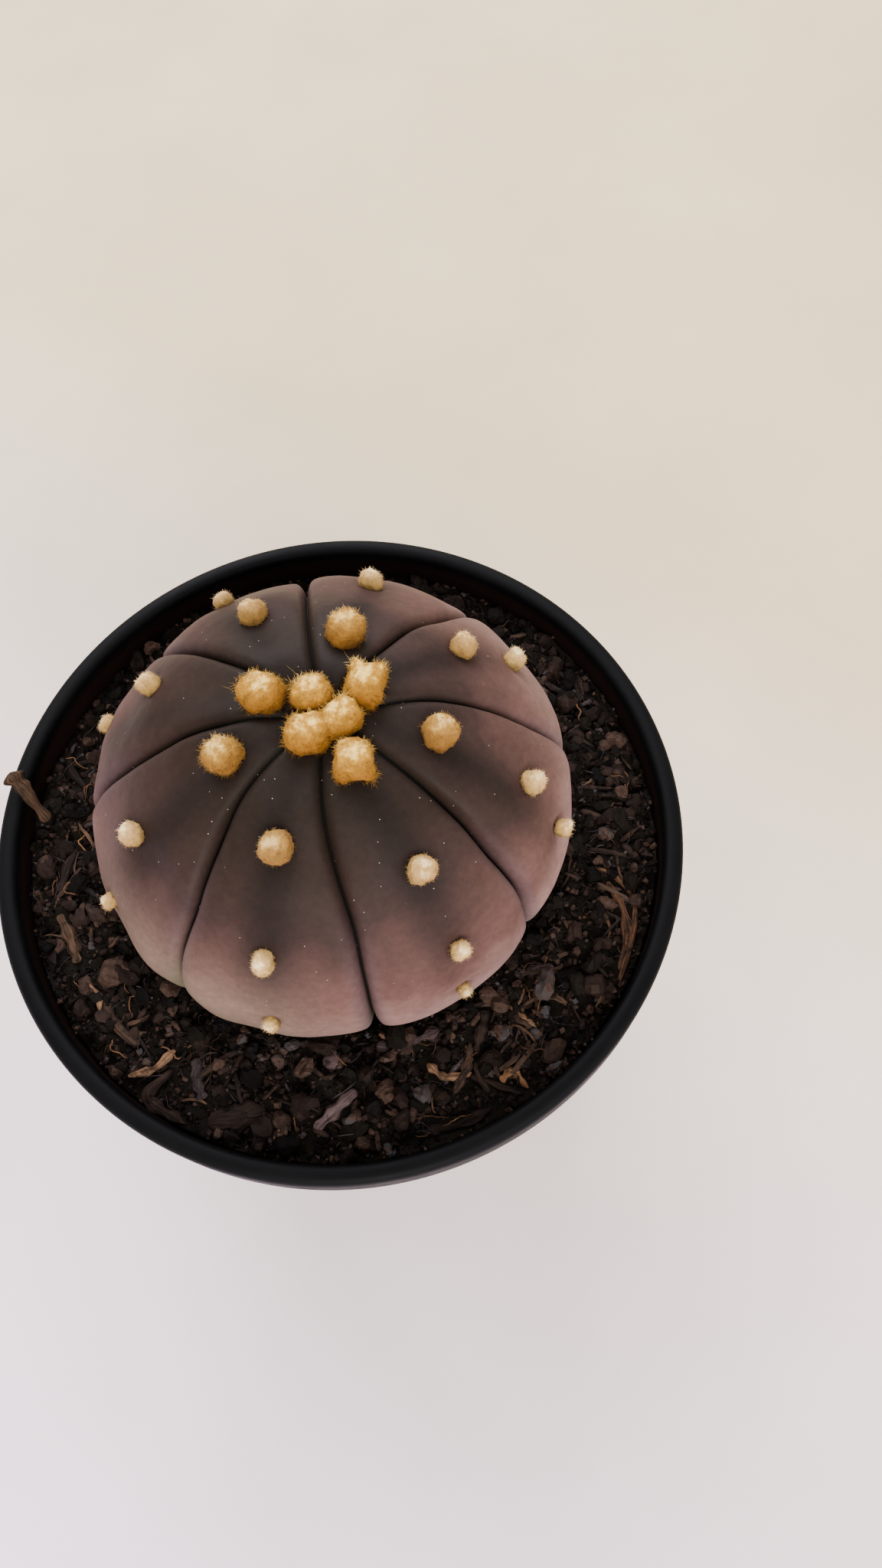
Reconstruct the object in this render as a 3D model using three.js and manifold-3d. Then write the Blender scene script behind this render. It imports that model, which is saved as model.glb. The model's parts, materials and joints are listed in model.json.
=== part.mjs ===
// A star cactus in a small nursery pot, in millimetres with +Z up.
// The origin is the middle of the pot's underside. +X is to the viewer's right and +Y points away from
// the viewer. Azimuths are in degrees, anticlockwise from +X seen from above.
import * as THREE from 'three';
import { ParametricGeometry } from 'three/addons/geometries/ParametricGeometry.js';
import { ImprovedNoise } from 'three/addons/math/ImprovedNoise.js';
import { mergeVertices } from 'three/addons/utils/BufferGeometryUtils.js';
import Module from 'manifold-3d';

// ---------------------------------------------------------------- driving dimensions

const CLEARANCE = 0.35; // between any two pieces that touch on the real plant

// The pot: thin moulded plastic that tapers down to a foot ring, with a thicker lip.
const RIM_DIAMETER = 90;
const POT_HEIGHT = 70;
const BASE_DIAMETER = 66;
const WALL = 1.2;
const LIP_WIDTH = 2.6;
const LIP_DEPTH = 6;
const FLOOR_THICKNESS = 1.5;
const FOOT_HEIGHT = 1.6;
const FOOT_WIDTH = 4;
const EDGE_ROUND = 0.9; // of the moulded edges
const DRAIN_DIAMETER = 8;
const DRAIN_COUNT = 6;
const DRAIN_CIRCLE_RADIUS = 20;
const DRAIN_SIDES = 12;
const SIDES = 72; // flats round the pot and the soil

// The plant: a flattened dome on a carrot-shaped root.
const BODY_CENTRE = new THREE.Vector3(0.9, 2.5, 73.5);
const BODY_RADIUS = 30; // at a rib's crest, at the widest level
const BODY_RISE = 24.7; // from the widest level to the crown
const UNDERSIDE_ANGLE = 40; // how far below the widest level the dome's curve runs on
const CROWN_DIMPLE = 1.1;
const CROWN_DIMPLE_RADIUS = 5;
const ROOT_NECK = { radius: 6, height: 44 };
const ROOT_TIP_HEIGHT = 24;
const UNDERSIDE_PULL = 11; // how long the underside keeps the dome's direction
const CREASE_DEPTH = 1.7;
const CREASE_WIDTH = 1.1;
const SHOULDER_SHARE = 0.4; // of a groove's depth: it is the broad shoulder's, and the crease has the rest
const RIB_START = { share: 0.3, distance: 24 }; // ribs' height at the crown, and where they are full
const GROOVE_SWING = { from: 6, to: 28 }; // distances between which a groove changes its azimuth

// The eight grooves: azimuth low on the flank, azimuth beside the crown, depth against the usual, and
// how far the flank reaches out there against the usual.
const GROOVES = [
  { flank: 5, crown: 11, depth: 0.8, reach: 0.99 },
  { flank: 49, crown: 52, depth: 0.9, reach: 0.97 },
  { flank: 97, crown: 97, depth: 1.0, reach: 0.965 },
  { flank: 142, crown: 140, depth: 0.9, reach: 1.02 },
  { flank: 182, crown: 178, depth: 0.8, reach: 1.055 },
  { flank: 230, crown: 221, depth: 0.9, reach: 1.055 },
  { flank: 276, crown: 268, depth: 1.0, reach: 1.005 },
  { flank: 322, crown: 324, depth: 1.3, reach: 1.005 },
];

// The areoles on the rib after each groove: [distance from the crown along the rib, sideways offset].
const AREOLES = [
  [[5.6, -0.3], [20.4, 1.2], [28.7, -0.4], [44.0, 0]],
  [[11.1, 0], [24.4, 0.8], [40.5, 0]],
  [[2.2, -0.3], [18.3, -0.4], [30.5, 0.4], [42.5, 0]],
  [[6.8, -0.3], [24.1, -1.8], [34.5, 0.9], [45.0, 0]],
  [[11.5, 0], [25.9, -1.2], [37.5, 0.5]],
  [[2.7, 0], [15.6, 0.6], [28.7, -0.4], [39.3, 0.4]],
  [[7.1, 0.5], [20.9, 0.8], [32.7, 0.5], [41.5, -0.5]],
  [[2.4, -0.6], [13.3, 0.6], [26.8, 1.3], [34.9, -0.8]],
];
const TUFT_DIAMETER = 4.4; // of the youngest, beside the crown
const TUFT_YOUNG_REACH = 8; // tufts nearer the crown than this are all full size
const TUFT_SHRINK = 0.072; // lost from the diameter for each millimetre further down
const TUFT_LIFT = 0.35; // how far a tuft's middle stands off the skin, against its radius
const TUFT_SMALL = 2.7; // below this a tuft is a plain twenty-sided lump
const TUFT_ROUGHNESS = 0.45;

// The soil: a plug of dark peat with crumbs on top.
const SOIL_LEVEL = 65.3;
const SOIL_BUMP = 0.9;
const SOIL_BUMP_SPACING = 5.5;
const SOIL_DIP = { depth: 0.8, width: 4 }; // where it falls away beside the lip
const SOIL_BOTTOM = FOOT_HEIGHT + FLOOR_THICKNESS + CLEARANCE;
const CRUMB_COUNT = 80;
const CRUMB_SIZE = [1.4, 4.2];
const CRUMB_MARGIN = 0.4; // kept free of crumbs along the lip
const CRUMB_INNER_RADIUS = 25; // nearer the middle than this there are no crumbs

// Loose wood on the soil. Each piece follows points [x, y] and lies sunk a little in the soil.
const SHRED_SINK = 0.5;
const SHRED_STEP = 1.8;
const SHRED_TAPER = 0.45; // lost from the width at each end
const BED_HEIGHT = 8; // how far up the soil is cleared over a shred
const SHREDS = [
  {
    name: 'twig_left_far', width: 1.1, thickness: 0.9,
    points: [[-38.6, 16.4], [-37.4, 12.6], [-35.0, 9.2]],
  },
  {
    name: 'twig_left_upper', width: 1.2, thickness: 1.0,
    points: [[-36.2, 1.0], [-37.2, -2.2], [-37.8, -5.4]],
  },
  {
    name: 'twig_left_lower', width: 1.4, thickness: 1.0,
    points: [[-37.6, -8.4], [-36.0, -11.6], [-34.8, -15.0]],
  },
  {
    name: 'twig_bent', width: 1.2, thickness: 0.9,
    points: [[-22.0, -29.4], [-25.0, -32.2], [-23.2, -34.4], [-20.2, -36.2]],
  },
  {
    name: 'sliver_grey', width: 1.7, thickness: 0.8,
    points: [[-19.0, -28.2], [-18.8, -31.2], [-18.0, -33.4]],
  },
  {
    name: 'bark_strip_dark', width: 2.3, thickness: 1.0,
    points: [[-17.4, -36.2], [-13.8, -36.0], [-10.2, -35.0]],
  },
  {
    name: 'sliver_middle', width: 1.5, thickness: 1.0,
    points: [[-4.4, -38.0], [-1.6, -35.6], [1.0, -33.4]],
  },
  {
    name: 'twig_right_dark', width: 1.1, thickness: 1.0,
    points: [[17.6, -24.4], [16.8, -27.2], [16.0, -29.6]],
  },
  {
    name: 'fibre_tan', width: 1.0, thickness: 0.8,
    points: [[9.8, -30.6], [11.9, -32.4], [15.4, -32.2]],
  },
  {
    name: 'fibre_arched', width: 1.0, thickness: 0.8,
    points: [[18.8, -33.4], [20.4, -32.4], [22.2, -34.4]],
  },
  {
    name: 'sliver_ochre', width: 1.3, thickness: 0.8,
    points: [[9.6, -38.8], [13.6, -38.2], [17.4, -36.6]],
  },
  {
    name: 'sliver_pink', width: 1.4, thickness: 0.8,
    points: [[21.6, -20.2], [24.2, -19.8], [26.8, -19.6]],
  },
  {
    name: 'fibre_right', width: 1.1, thickness: 0.8,
    points: [[34.8, -8.4], [36.4, -12.4], [36.6, -16.4], [35.0, -20.4]],
  },
];
// A bark chip that stands in the soil and leans out over the lip.
const RIM_CHIP = {
  width: 2.2,
  thickness: 1.0,
  points: [[-39.6, 4.6, 65.9], [-41.0, 6.5, 69.7], [-42.2, 8.0, 71.3], [-43.0, 9.0, 72.6]],
};
// A flat oval chip in front.
const OVAL_CHIP = { x: -1.7, y: -29.8, length: 3.0, width: 2.2, thickness: 1.1 };

// ---------------------------------------------------------------- solids and noise

const wasm = await Module();
wasm.setup();

const noise = new ImprovedNoise();
const { degToRad, lerp, smoothstep } = THREE.MathUtils;

function randomFrom(seed) {
  THREE.MathUtils.seededRandom(seed);
  return (low, high) => lerp(low, high, THREE.MathUtils.seededRandom());
}

// A closed geometry as a solid. Shared corners are joined, and the flat slivers at a pole are dropped.
function solidOf(geometry) {
  const bare = geometry.clone();
  bare.deleteAttribute('normal');
  bare.deleteAttribute('uv');
  const merged = mergeVertices(bare);
  const corners = merged.index.array;
  const faces = [];
  for (let i = 0; i < corners.length; i += 3) {
    const [a, b, c] = corners.slice(i, i + 3);
    if (a !== b && b !== c && c !== a) faces.push(a, b, c);
  }
  return new wasm.Manifold(new wasm.Mesh({
    numProp: 3,
    vertProperties: new Float32Array(merged.attributes.position.array),
    triVerts: new Uint32Array(faces),
  }));
}

function meshOf(solid, name, material) {
  const result = solid.getMesh();
  const geometry = new THREE.BufferGeometry();
  geometry.setAttribute('position', new THREE.BufferAttribute(result.vertProperties, 3));
  geometry.setIndex(new THREE.BufferAttribute(result.triVerts, 1));
  geometry.computeVertexNormals();
  const mesh = new THREE.Mesh(geometry, material);
  mesh.name = name;
  return mesh;
}

// Moves every corner of a geometry by a rule.
function reshape(geometry, rule) {
  const corners = geometry.attributes.position;
  const point = new THREE.Vector3();
  for (let i = 0; i < corners.count; i += 1) {
    point.fromBufferAttribute(corners, i);
    rule(point);
    corners.setXYZ(i, point.x, point.y, point.z);
  }
  return geometry;
}

// A closed skin whose rows run from the top pole down to the bottom one, each row running anticlockwise.
function roundSkin(columns, rows, placeAt) {
  return new ParametricGeometry((u, v, target) => {
    const column = Math.round((1 - u) * columns) % columns;
    placeAt(column, Math.round(v * (rows - 1)), target);
  }, columns, rows - 1);
}

// A ball of few faces, pushed in and out by noise, so that it looks torn or crumbled.
function lump(detail, roughness, seed) {
  const swing = 1.7; // a lump has about this many hollows across its radius
  return reshape(new THREE.IcosahedronGeometry(1, detail), (point) => {
    const wave = noise.noise(point.x * swing + seed, point.y * swing, point.z * swing - seed);
    point.multiplyScalar(1 + roughness * wave);
  });
}

// ---------------------------------------------------------------- pot

const lipInner = RIM_DIAMETER / 2 - LIP_WIDTH;

// The outside of the wall, at a height above the underside.
function wallRadius(height) {
  return lerp(BASE_DIAMETER / 2, lipInner + WALL, height / (POT_HEIGHT - LIP_DEPTH));
}

function makePot() {
  const outer = RIM_DIAMETER / 2;
  const base = BASE_DIAMETER / 2;
  const lipBottom = POT_HEIGHT - LIP_DEPTH;
  const floorTop = FOOT_HEIGHT + FLOOR_THICKNESS;
  const profile = [
    [0, FOOT_HEIGHT],
    [base - FOOT_WIDTH - FOOT_HEIGHT, FOOT_HEIGHT],
    [base - FOOT_WIDTH, 0],
    [base - EDGE_ROUND, 0],
    [base, EDGE_ROUND],
    [wallRadius(lipBottom), lipBottom],
    [outer - EDGE_ROUND / 2, lipBottom],
    [outer, lipBottom + EDGE_ROUND],
    [outer, POT_HEIGHT - EDGE_ROUND],
    [outer - EDGE_ROUND / 3, POT_HEIGHT - EDGE_ROUND / 3],
    [outer - EDGE_ROUND, POT_HEIGHT],
    [lipInner + EDGE_ROUND, POT_HEIGHT],
    [lipInner + EDGE_ROUND / 3, POT_HEIGHT - EDGE_ROUND / 3],
    [lipInner, POT_HEIGHT - EDGE_ROUND],
    [lipInner, lipBottom],
    [wallRadius(floorTop) - WALL, floorTop + EDGE_ROUND],
    [wallRadius(floorTop) - WALL - EDGE_ROUND, floorTop],
    [0, floorTop],
  ].map(([x, y]) => new THREE.Vector2(x, y));
  let pot = solidOf(new THREE.LatheGeometry(profile, SIDES).rotateX(Math.PI / 2));
  for (let i = 0; i < DRAIN_COUNT; i += 1) {
    const angle = (i / DRAIN_COUNT) * 2 * Math.PI;
    const radius = DRAIN_DIAMETER / 2;
    const hole = new THREE.CylinderGeometry(radius, radius, POT_HEIGHT / 4, DRAIN_SIDES);
    hole.rotateX(Math.PI / 2);
    hole.translate(DRAIN_CIRCLE_RADIUS * Math.cos(angle), DRAIN_CIRCLE_RADIUS * Math.sin(angle), 0);
    pot = pot.subtract(solidOf(hole));
  }
  return pot;
}

// ---------------------------------------------------------------- cactus

// The dome's outline from the crown down, measured by its length, as [distance from the axis, height].
const dome = new THREE.EllipseCurve(
  0, BODY_CENTRE.z, BODY_RADIUS, BODY_RISE, Math.PI / 2, -degToRad(UNDERSIDE_ANGLE), true,
);
const domeLength = dome.getLength();

function domePoint(distance) {
  const point = dome.getPointAt(distance / domeLength);
  point.y -= CROWN_DIMPLE * Math.exp(-((point.x / CROWN_DIMPLE_RADIUS) ** 2));
  return point;
}

// Where a groove runs at a distance from the crown: it swings from its crown azimuth to its flank one.
function grooveAzimuth(groove, distance) {
  const turns = Math.floor(groove / GROOVES.length);
  const { flank, crown } = GROOVES[groove - turns * GROOVES.length];
  return turns * 360 + lerp(crown, flank, smoothstep(distance, GROOVE_SWING.from, GROOVE_SWING.to));
}

function ribAzimuth(rib, across, distance) {
  return lerp(grooveAzimuth(rib, distance), grooveAzimuth(rib + 1, distance), across);
}

// How much further from the axis than usual the skin lies, which tells most at the widest level.
function reachAt(rib, across, radius) {
  const here = GROOVES[rib % GROOVES.length].reach;
  const next = GROOVES[(rib + 1) % GROOVES.length].reach;
  return 1 + (lerp(here, next, smoothstep(across, 0, 1)) - 1) * (radius / BODY_RADIUS) ** 2;
}

// How far the skin lies below the rib's crest: a broad round shoulder and a narrow crease.
function ribDrop(rib, across, distance, radius) {
  const side = Math.abs(2 * across - 1);
  const nearest = GROOVES[(across < 0.5 ? rib : rib + 1) % GROOVES.length];
  const halfWidth = (Math.PI * radius) / GROOVES.length;
  const crease = Math.exp(-((((1 - side) * halfWidth) / CREASE_WIDTH) ** 2));
  const height = lerp(RIB_START.share, 1, smoothstep(distance, 0, RIB_START.distance));
  return nearest.depth * CREASE_DEPTH * height * lerp(crease, side ** 6, SHOULDER_SHARE);
}

// The plant's rows from the crown down to the root's tip. ribs says how strong the ribs are there.
function bodyRows() {
  const rows = [];
  const domeSteps = [0, 2.2, 4.5, 7, 10, 13.5, 17, 20.5, 24, 27.5, 31, 34.5, 38, 41, 44, 47, 50, 53.5, 57];
  for (const distance of domeSteps) {
    rows.push({ distance, at: domePoint(distance), ribs: distance === 0 ? 0 : 1 });
  }
  const edge = domePoint(domeLength);
  const slope = dome.getTangentAt(1);
  const underside = new THREE.CubicBezierCurve(
    edge,
    edge.clone().addScaledVector(slope, UNDERSIDE_PULL),
    new THREE.Vector2(ROOT_NECK.radius + 1, ROOT_NECK.height + 6),
    new THREE.Vector2(ROOT_NECK.radius, ROOT_NECK.height),
  );
  const root = new THREE.CubicBezierCurve(
    new THREE.Vector2(ROOT_NECK.radius, ROOT_NECK.height),
    new THREE.Vector2(ROOT_NECK.radius - 0.8, ROOT_NECK.height - 6),
    new THREE.Vector2(ROOT_NECK.radius / 2, ROOT_TIP_HEIGHT + 2),
    new THREE.Vector2(0, ROOT_TIP_HEIGHT),
  );
  const fades = [0.9, 0.6, 0.3, 0];
  underside.getPoints(4).slice(1).forEach((at, i) => {
    rows.push({ distance: domeLength, at, ribs: fades[i] });
  });
  for (const at of root.getPoints(4).slice(1)) rows.push({ distance: domeLength, at, ribs: 0 });
  rows.at(-1).at.x = 0;
  rows.forEach((row, i) => {
    const before = rows[Math.max(i - 1, 0)].at;
    const after = rows[Math.min(i + 1, rows.length - 1)].at;
    const pole = i === 0 || i === rows.length - 1;
    const along = pole ? new THREE.Vector2(1, 0) : after.clone().sub(before).normalize();
    row.out = new THREE.Vector2(-along.y, along.x);
    if (i === rows.length - 1) row.out.set(0, -1);
  });
  return rows;
}

// The columns of the skin on each rib, from one groove towards the next. They crowd towards the grooves.
const FINE_COLUMNS = [0, 0.035, 0.1, 0.25, 0.5, 0.75, 0.9, 0.965];
const COARSE_COLUMNS = [0, 0.1, 0.36, 0.64, 0.9];

// The plant's skin, moved outwards by an offset.
function skin(offset, columns) {
  const rows = bodyRows();
  const geometry = roundSkin(GROOVES.length * columns.length, rows.length, (column, level, target) => {
    const row = rows[level];
    const rib = Math.floor(column / columns.length);
    const share = columns[column % columns.length];
    const drop = row.ribs * ribDrop(rib, share, row.distance, row.at.x);
    const radius = row.at.x * reachAt(rib, share, row.at.x) + row.out.x * (offset - drop);
    const height = row.at.y + row.out.y * (offset - drop);
    const azimuth = degToRad(ribAzimuth(rib, share, row.distance));
    target.set(radius * Math.cos(azimuth), radius * Math.sin(azimuth), height);
  });
  return geometry.translate(BODY_CENTRE.x, BODY_CENTRE.y, 0);
}

// Every areole's place on the skin, the way out of the skin there, and the width of its woolly tuft.
function areoleSites() {
  const sites = [];
  AREOLES.forEach((spots, rib) => {
    for (const [distance, sideways] of spots) {
      const at = domePoint(distance);
      const slope = dome.getTangentAt(distance / domeLength);
      const radius = at.x * reachAt(rib, 0.5, at.x);
      const azimuth = degToRad(ribAzimuth(rib, 0.5, distance)) + sideways / radius;
      const [east, north] = [Math.cos(azimuth), Math.sin(azimuth)];
      const diameter = TUFT_DIAMETER - TUFT_SHRINK * Math.max(0, distance - TUFT_YOUNG_REACH);
      sites.push({
        place: new THREE.Vector3(BODY_CENTRE.x + radius * east, BODY_CENTRE.y + radius * north, at.y),
        out: new THREE.Vector3(-slope.y * east, -slope.y * north, slope.x),
        diameter,
      });
    }
  });
  return sites;
}

function makeCactus() {
  let cactus = solidOf(skin(0, FINE_COLUMNS));
  const random = randomFrom(11);
  const up = new THREE.Vector3(0, 0, 1);
  areoleSites().forEach(({ place, out, diameter }, i) => {
    const radius = diameter / 2;
    const tuft = lump(diameter < TUFT_SMALL ? 0 : 1, TUFT_ROUGHNESS, i * 3.1);
    tuft.rotateZ(random(0, Math.PI));
    tuft.scale(radius, radius * random(0.9, 1), radius * 0.95);
    tuft.translate(0, 0, radius * TUFT_LIFT);
    tuft.applyQuaternion(new THREE.Quaternion().setFromUnitVectors(up, out));
    tuft.translate(place.x, place.y, place.z);
    cactus = cactus.add(solidOf(tuft));
  });
  return cactus;
}

// ---------------------------------------------------------------- soil and loose wood

const soilEdge = lipInner - CLEARANCE;

function soilHeight(x, y) {
  const s = 1 / SOIL_BUMP_SPACING;
  const broad = noise.noise(x * s * 0.4, y * s * 0.4, 4.2);
  const fine = noise.noise(x * s, y * s, 9.7);
  const dip = smoothstep(Math.hypot(x, y), soilEdge - SOIL_DIP.width, soilEdge);
  return SOIL_LEVEL + SOIL_BUMP * (broad + fine) - SOIL_DIP.depth * dip;
}

// A strip that follows a curve over the soil, from its underside up to a height above it.
function strip(curve, width, low, high, extra) {
  const length = curve.getLength();
  const steps = Math.max(4, Math.round(length / SHRED_STEP));
  const box = new THREE.BoxGeometry(1, 1, 1, steps, 2, 1);
  return reshape(box, (point) => {
    const along = THREE.MathUtils.clamp(point.x + 0.5, 0, 1);
    const centre = curve.getPointAt(along);
    const forward = curve.getTangentAt(along).setZ(0).normalize();
    const taper = 1 - SHRED_TAPER * Math.abs(2 * along - 1) ** 3;
    const sideways = point.y * (width * taper + 2 * extra);
    const overrun = Math.sign(point.x) * (Math.abs(point.x) === 0.5 ? extra : 0);
    const height = point.z < 0 ? low : high;
    point.set(
      centre.x - forward.y * sideways + forward.x * overrun,
      centre.y + forward.x * sideways + forward.y * overrun,
      centre.z + height,
    );
  });
}

function shredCurve({ points }) {
  return new THREE.CatmullRomCurve3(points.map(([x, y, z]) => (
    new THREE.Vector3(x, y, z ?? soilHeight(x, y) - SHRED_SINK)
  )));
}

function makeShred(shred) {
  return solidOf(strip(shredCurve(shred), shred.width, 0, shred.thickness, 0));
}

// The bed that a shred lies in: its own outline and a clearance, open at the top.
function makeBed(shred) {
  return solidOf(strip(shredCurve(shred), shred.width, -CLEARANCE, BED_HEIGHT, CLEARANCE));
}

function ovalChip(grow) {
  const { x, y, length, width, thickness } = OVAL_CHIP;
  const chip = lump(1, 0.2, 5).scale(length / 2 + grow, width / 2 + grow, thickness / 2 + grow);
  return chip.translate(x, y, soilHeight(x, y) + thickness / 2 - SHRED_SINK);
}

// Whether a spot on the soil is clear of the loose pieces, by a margin.
function isClear(x, y, margin) {
  const paths = [...SHREDS, RIM_CHIP];
  const offChip = Math.hypot(x - OVAL_CHIP.x, y - OVAL_CHIP.y) > OVAL_CHIP.length / 2 + margin;
  return offChip && paths.every((shred) => shredCurve(shred).getPoints(12).every((point) => (
    Math.hypot(x - point.x, y - point.y) > shred.width / 2 + margin
  )));
}

function soilPlug() {
  const bottomEdge = wallRadius(SOIL_BOTTOM) - WALL - 1 - CLEARANCE;
  const topRings = [0, 21, 24, 26, 28, 30, 32, 34, 36, 38, 40, soilEdge];
  const rings = [...topRings, bottomEdge, 0];
  return solidOf(roundSkin(SIDES, rings.length, (column, row, target) => {
    const azimuth = (column / SIDES) * 2 * Math.PI;
    const [x, y] = [rings[row] * Math.cos(azimuth), rings[row] * Math.sin(azimuth)];
    target.set(x, y, row < topRings.length ? soilHeight(x, y) : SOIL_BOTTOM);
  }));
}

function makeSoil() {
  let soil = soilPlug();
  const random = randomFrom(23);
  let placed = 0;
  while (placed < CRUMB_COUNT) {
    const size = lerp(CRUMB_SIZE[0], CRUMB_SIZE[1], random(0, 1) ** 2);
    const outermost = soilEdge - size / 2 - CRUMB_MARGIN;
    const radius = Math.sqrt(random(CRUMB_INNER_RADIUS ** 2, outermost ** 2));
    const azimuth = random(0, 2 * Math.PI);
    const [x, y] = [radius * Math.cos(azimuth), radius * Math.sin(azimuth)];
    const shape = [random(0.8, 1), random(0.7, 0.9), random(0.6, 0.8)].map((k) => (k * size) / 2);
    const turn = [random(0, 1), random(0, Math.PI)];
    const outside = Math.hypot(x - BODY_CENTRE.x, y - BODY_CENTRE.y) > BODY_RADIUS;
    if (!outside || !isClear(x, y, size / 2 + CLEARANCE + 0.3)) continue;
    const crumb = lump(0, 0.5, placed * 1.3).scale(...shape).rotateX(turn[0]).rotateZ(turn[1]);
    soil = soil.add(solidOf(crumb.translate(x, y, soilHeight(x, y) + size * 0.08)));
    placed += 1;
  }
  soil = soil.subtract(solidOf(skin(CLEARANCE, COARSE_COLUMNS)));
  for (const shred of SHREDS) soil = soil.subtract(makeBed(shred));
  soil = soil.subtract(makeBed(RIM_CHIP));
  return soil.subtract(solidOf(ovalChip(CLEARANCE)));
}

// ---------------------------------------------------------------- assembly

function finish(color, roughness) {
  return new THREE.MeshStandardMaterial({ color, roughness, metalness: 0 });
}

const potPlastic = finish(0x16191b, 0.5);
const cactusSkin = finish(0x6b534b, 0.75);
const peat = finish(0x1c1613, 0.95);
const wood = finish(0x7a5538, 0.85);

const plant = new THREE.Group();
plant.add(meshOf(makePot(), 'pot', potPlastic));
plant.add(meshOf(makeSoil(), 'soil', peat));
plant.add(meshOf(makeCactus(), 'cactus_body', cactusSkin));
for (const shred of SHREDS) plant.add(meshOf(makeShred(shred), shred.name, wood));
plant.add(meshOf(makeShred(RIM_CHIP), 'bark_chip_on_rim', wood));
plant.add(meshOf(solidOf(ovalChip(0)), 'bark_chip_oval', wood));

export default plant;
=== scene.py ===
# %% [markdown]
# # A star cactus in its nursery pot
# The plant is a low spineless cactus with eight broad ribs, and a tuft of wool on each of its areoles.
# It grows in dark peat and bark, in a thin black plastic pot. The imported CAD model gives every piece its
# size and place. This lesson dresses it: each CAD piece is either given a better material or replaced by
# a finer mesh that keeps its form.

# %% Load the fixed frame
import json
import math

import bmesh
import bpy
import numpy as np
from mathutils import Matrix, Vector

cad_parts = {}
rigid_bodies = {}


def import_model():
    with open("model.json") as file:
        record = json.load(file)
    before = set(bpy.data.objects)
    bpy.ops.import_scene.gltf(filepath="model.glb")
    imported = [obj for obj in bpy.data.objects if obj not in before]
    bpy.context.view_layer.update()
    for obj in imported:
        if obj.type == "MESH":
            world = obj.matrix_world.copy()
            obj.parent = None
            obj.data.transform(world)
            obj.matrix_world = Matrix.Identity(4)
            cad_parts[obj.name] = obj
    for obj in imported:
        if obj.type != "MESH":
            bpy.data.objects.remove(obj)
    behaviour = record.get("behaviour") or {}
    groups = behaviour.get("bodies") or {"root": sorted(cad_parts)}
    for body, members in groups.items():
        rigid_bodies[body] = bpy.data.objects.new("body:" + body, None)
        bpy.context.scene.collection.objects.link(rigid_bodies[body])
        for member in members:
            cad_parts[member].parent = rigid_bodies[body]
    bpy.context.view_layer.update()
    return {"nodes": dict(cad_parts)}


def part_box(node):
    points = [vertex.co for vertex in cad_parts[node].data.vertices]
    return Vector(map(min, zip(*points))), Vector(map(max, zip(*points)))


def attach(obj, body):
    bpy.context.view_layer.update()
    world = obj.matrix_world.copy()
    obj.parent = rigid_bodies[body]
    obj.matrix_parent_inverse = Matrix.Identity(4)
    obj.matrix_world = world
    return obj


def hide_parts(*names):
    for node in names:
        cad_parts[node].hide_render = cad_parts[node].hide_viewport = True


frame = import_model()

MM = 0.001
print("CAD nodes:", len(frame["nodes"]))

# %% [markdown]
# ## Camera
# The plant is looked down on from close by with a wide lens, so the pot's lip is an ellipse and its tall
# wall hides below it. A few numbers set the camera: its place over the pot, how steeply it looks down, and
# a slight roll.

# %% Camera
CAMERA_PLACE = np.array([13.7, -56.4, 213.9]) * MM
LOOK_DOWN = math.radians(66.9)
ROLL = math.radians(-3.5)
LENS = 27.05
SENSOR = 36.0

camera_data = bpy.data.cameras.new("camera")
camera_data.lens = LENS
camera_data.sensor_width = SENSOR
camera_data.clip_start = 1 * MM
camera = bpy.data.objects.new("camera", camera_data)
bpy.context.scene.collection.objects.link(camera)
turn = Matrix.Rotation(math.pi / 2 - LOOK_DOWN, 4, "X") @ Matrix.Rotation(ROLL, 4, "Z")
camera.matrix_world = Matrix.Translation(CAMERA_PLACE) @ turn
bpy.context.scene.camera = camera

# %% [markdown]
# ## Small tools
# Every new surface is worked out as whole numpy arrays. One function turns a grid of points into a closed
# mesh. A random field gives bumps: it adds plane waves of one wavelength, in seeded directions.

# %% Mesh and noise tools
random = np.random.default_rng(8)


def new_object(name, points, faces, smooth=True):
    """A mesh object from points in millimetres and a list or array of faces."""
    mesh = bpy.data.meshes.new(name)
    mesh.from_pydata(np.asarray(points) * MM, [], np.asarray(faces).tolist())
    mesh.polygons.foreach_set("use_smooth", [smooth] * len(mesh.polygons))
    mesh.update()
    made = bpy.data.objects.new(name, mesh)
    bpy.context.scene.collection.objects.link(made)
    return made


def ring_faces(rows, columns):
    """Quads of a grid whose rows are closed rings, listed row by row."""
    row, column = np.meshgrid(np.arange(rows - 1), np.arange(columns), indexing="ij")
    here = row * columns + column
    beside = row * columns + (column + 1) % columns
    return np.stack([here, here + columns, beside + columns, beside], -1).reshape(-1, 4)


def close_poles(made):
    """Joins the corners that lie on one spot, so that a ring of no width becomes a pole."""
    mesh = bmesh.new()
    mesh.from_mesh(made.data)
    bmesh.ops.remove_doubles(mesh, verts=mesh.verts, dist=1e-7)
    bmesh.ops.recalc_face_normals(mesh, faces=mesh.faces)
    mesh.to_mesh(made.data)
    mesh.free()
    return made


def set_attribute(made, name, values):
    """Stores one number for each corner of a mesh, for its material to read."""
    attribute = made.data.attributes.new(name, "FLOAT", "POINT")
    attribute.data.foreach_set("value", np.asarray(values, np.float32))


def field(points, wavelength, seed, waves=20):
    """A random field with a spread of about 1: a sum of plane waves of one wavelength."""
    draw = np.random.default_rng(seed)
    direction = draw.normal(size=(waves, 3))
    direction /= np.linalg.norm(direction, axis=1, keepdims=True)
    phase = draw.uniform(0, 2 * np.pi, waves)
    total = np.zeros(points.shape[:-1])
    for way, start in zip(direction, phase):
        total += np.cos(points @ way * (2 * np.pi / wavelength) + start)
    return total * math.sqrt(2 / waves)


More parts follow.
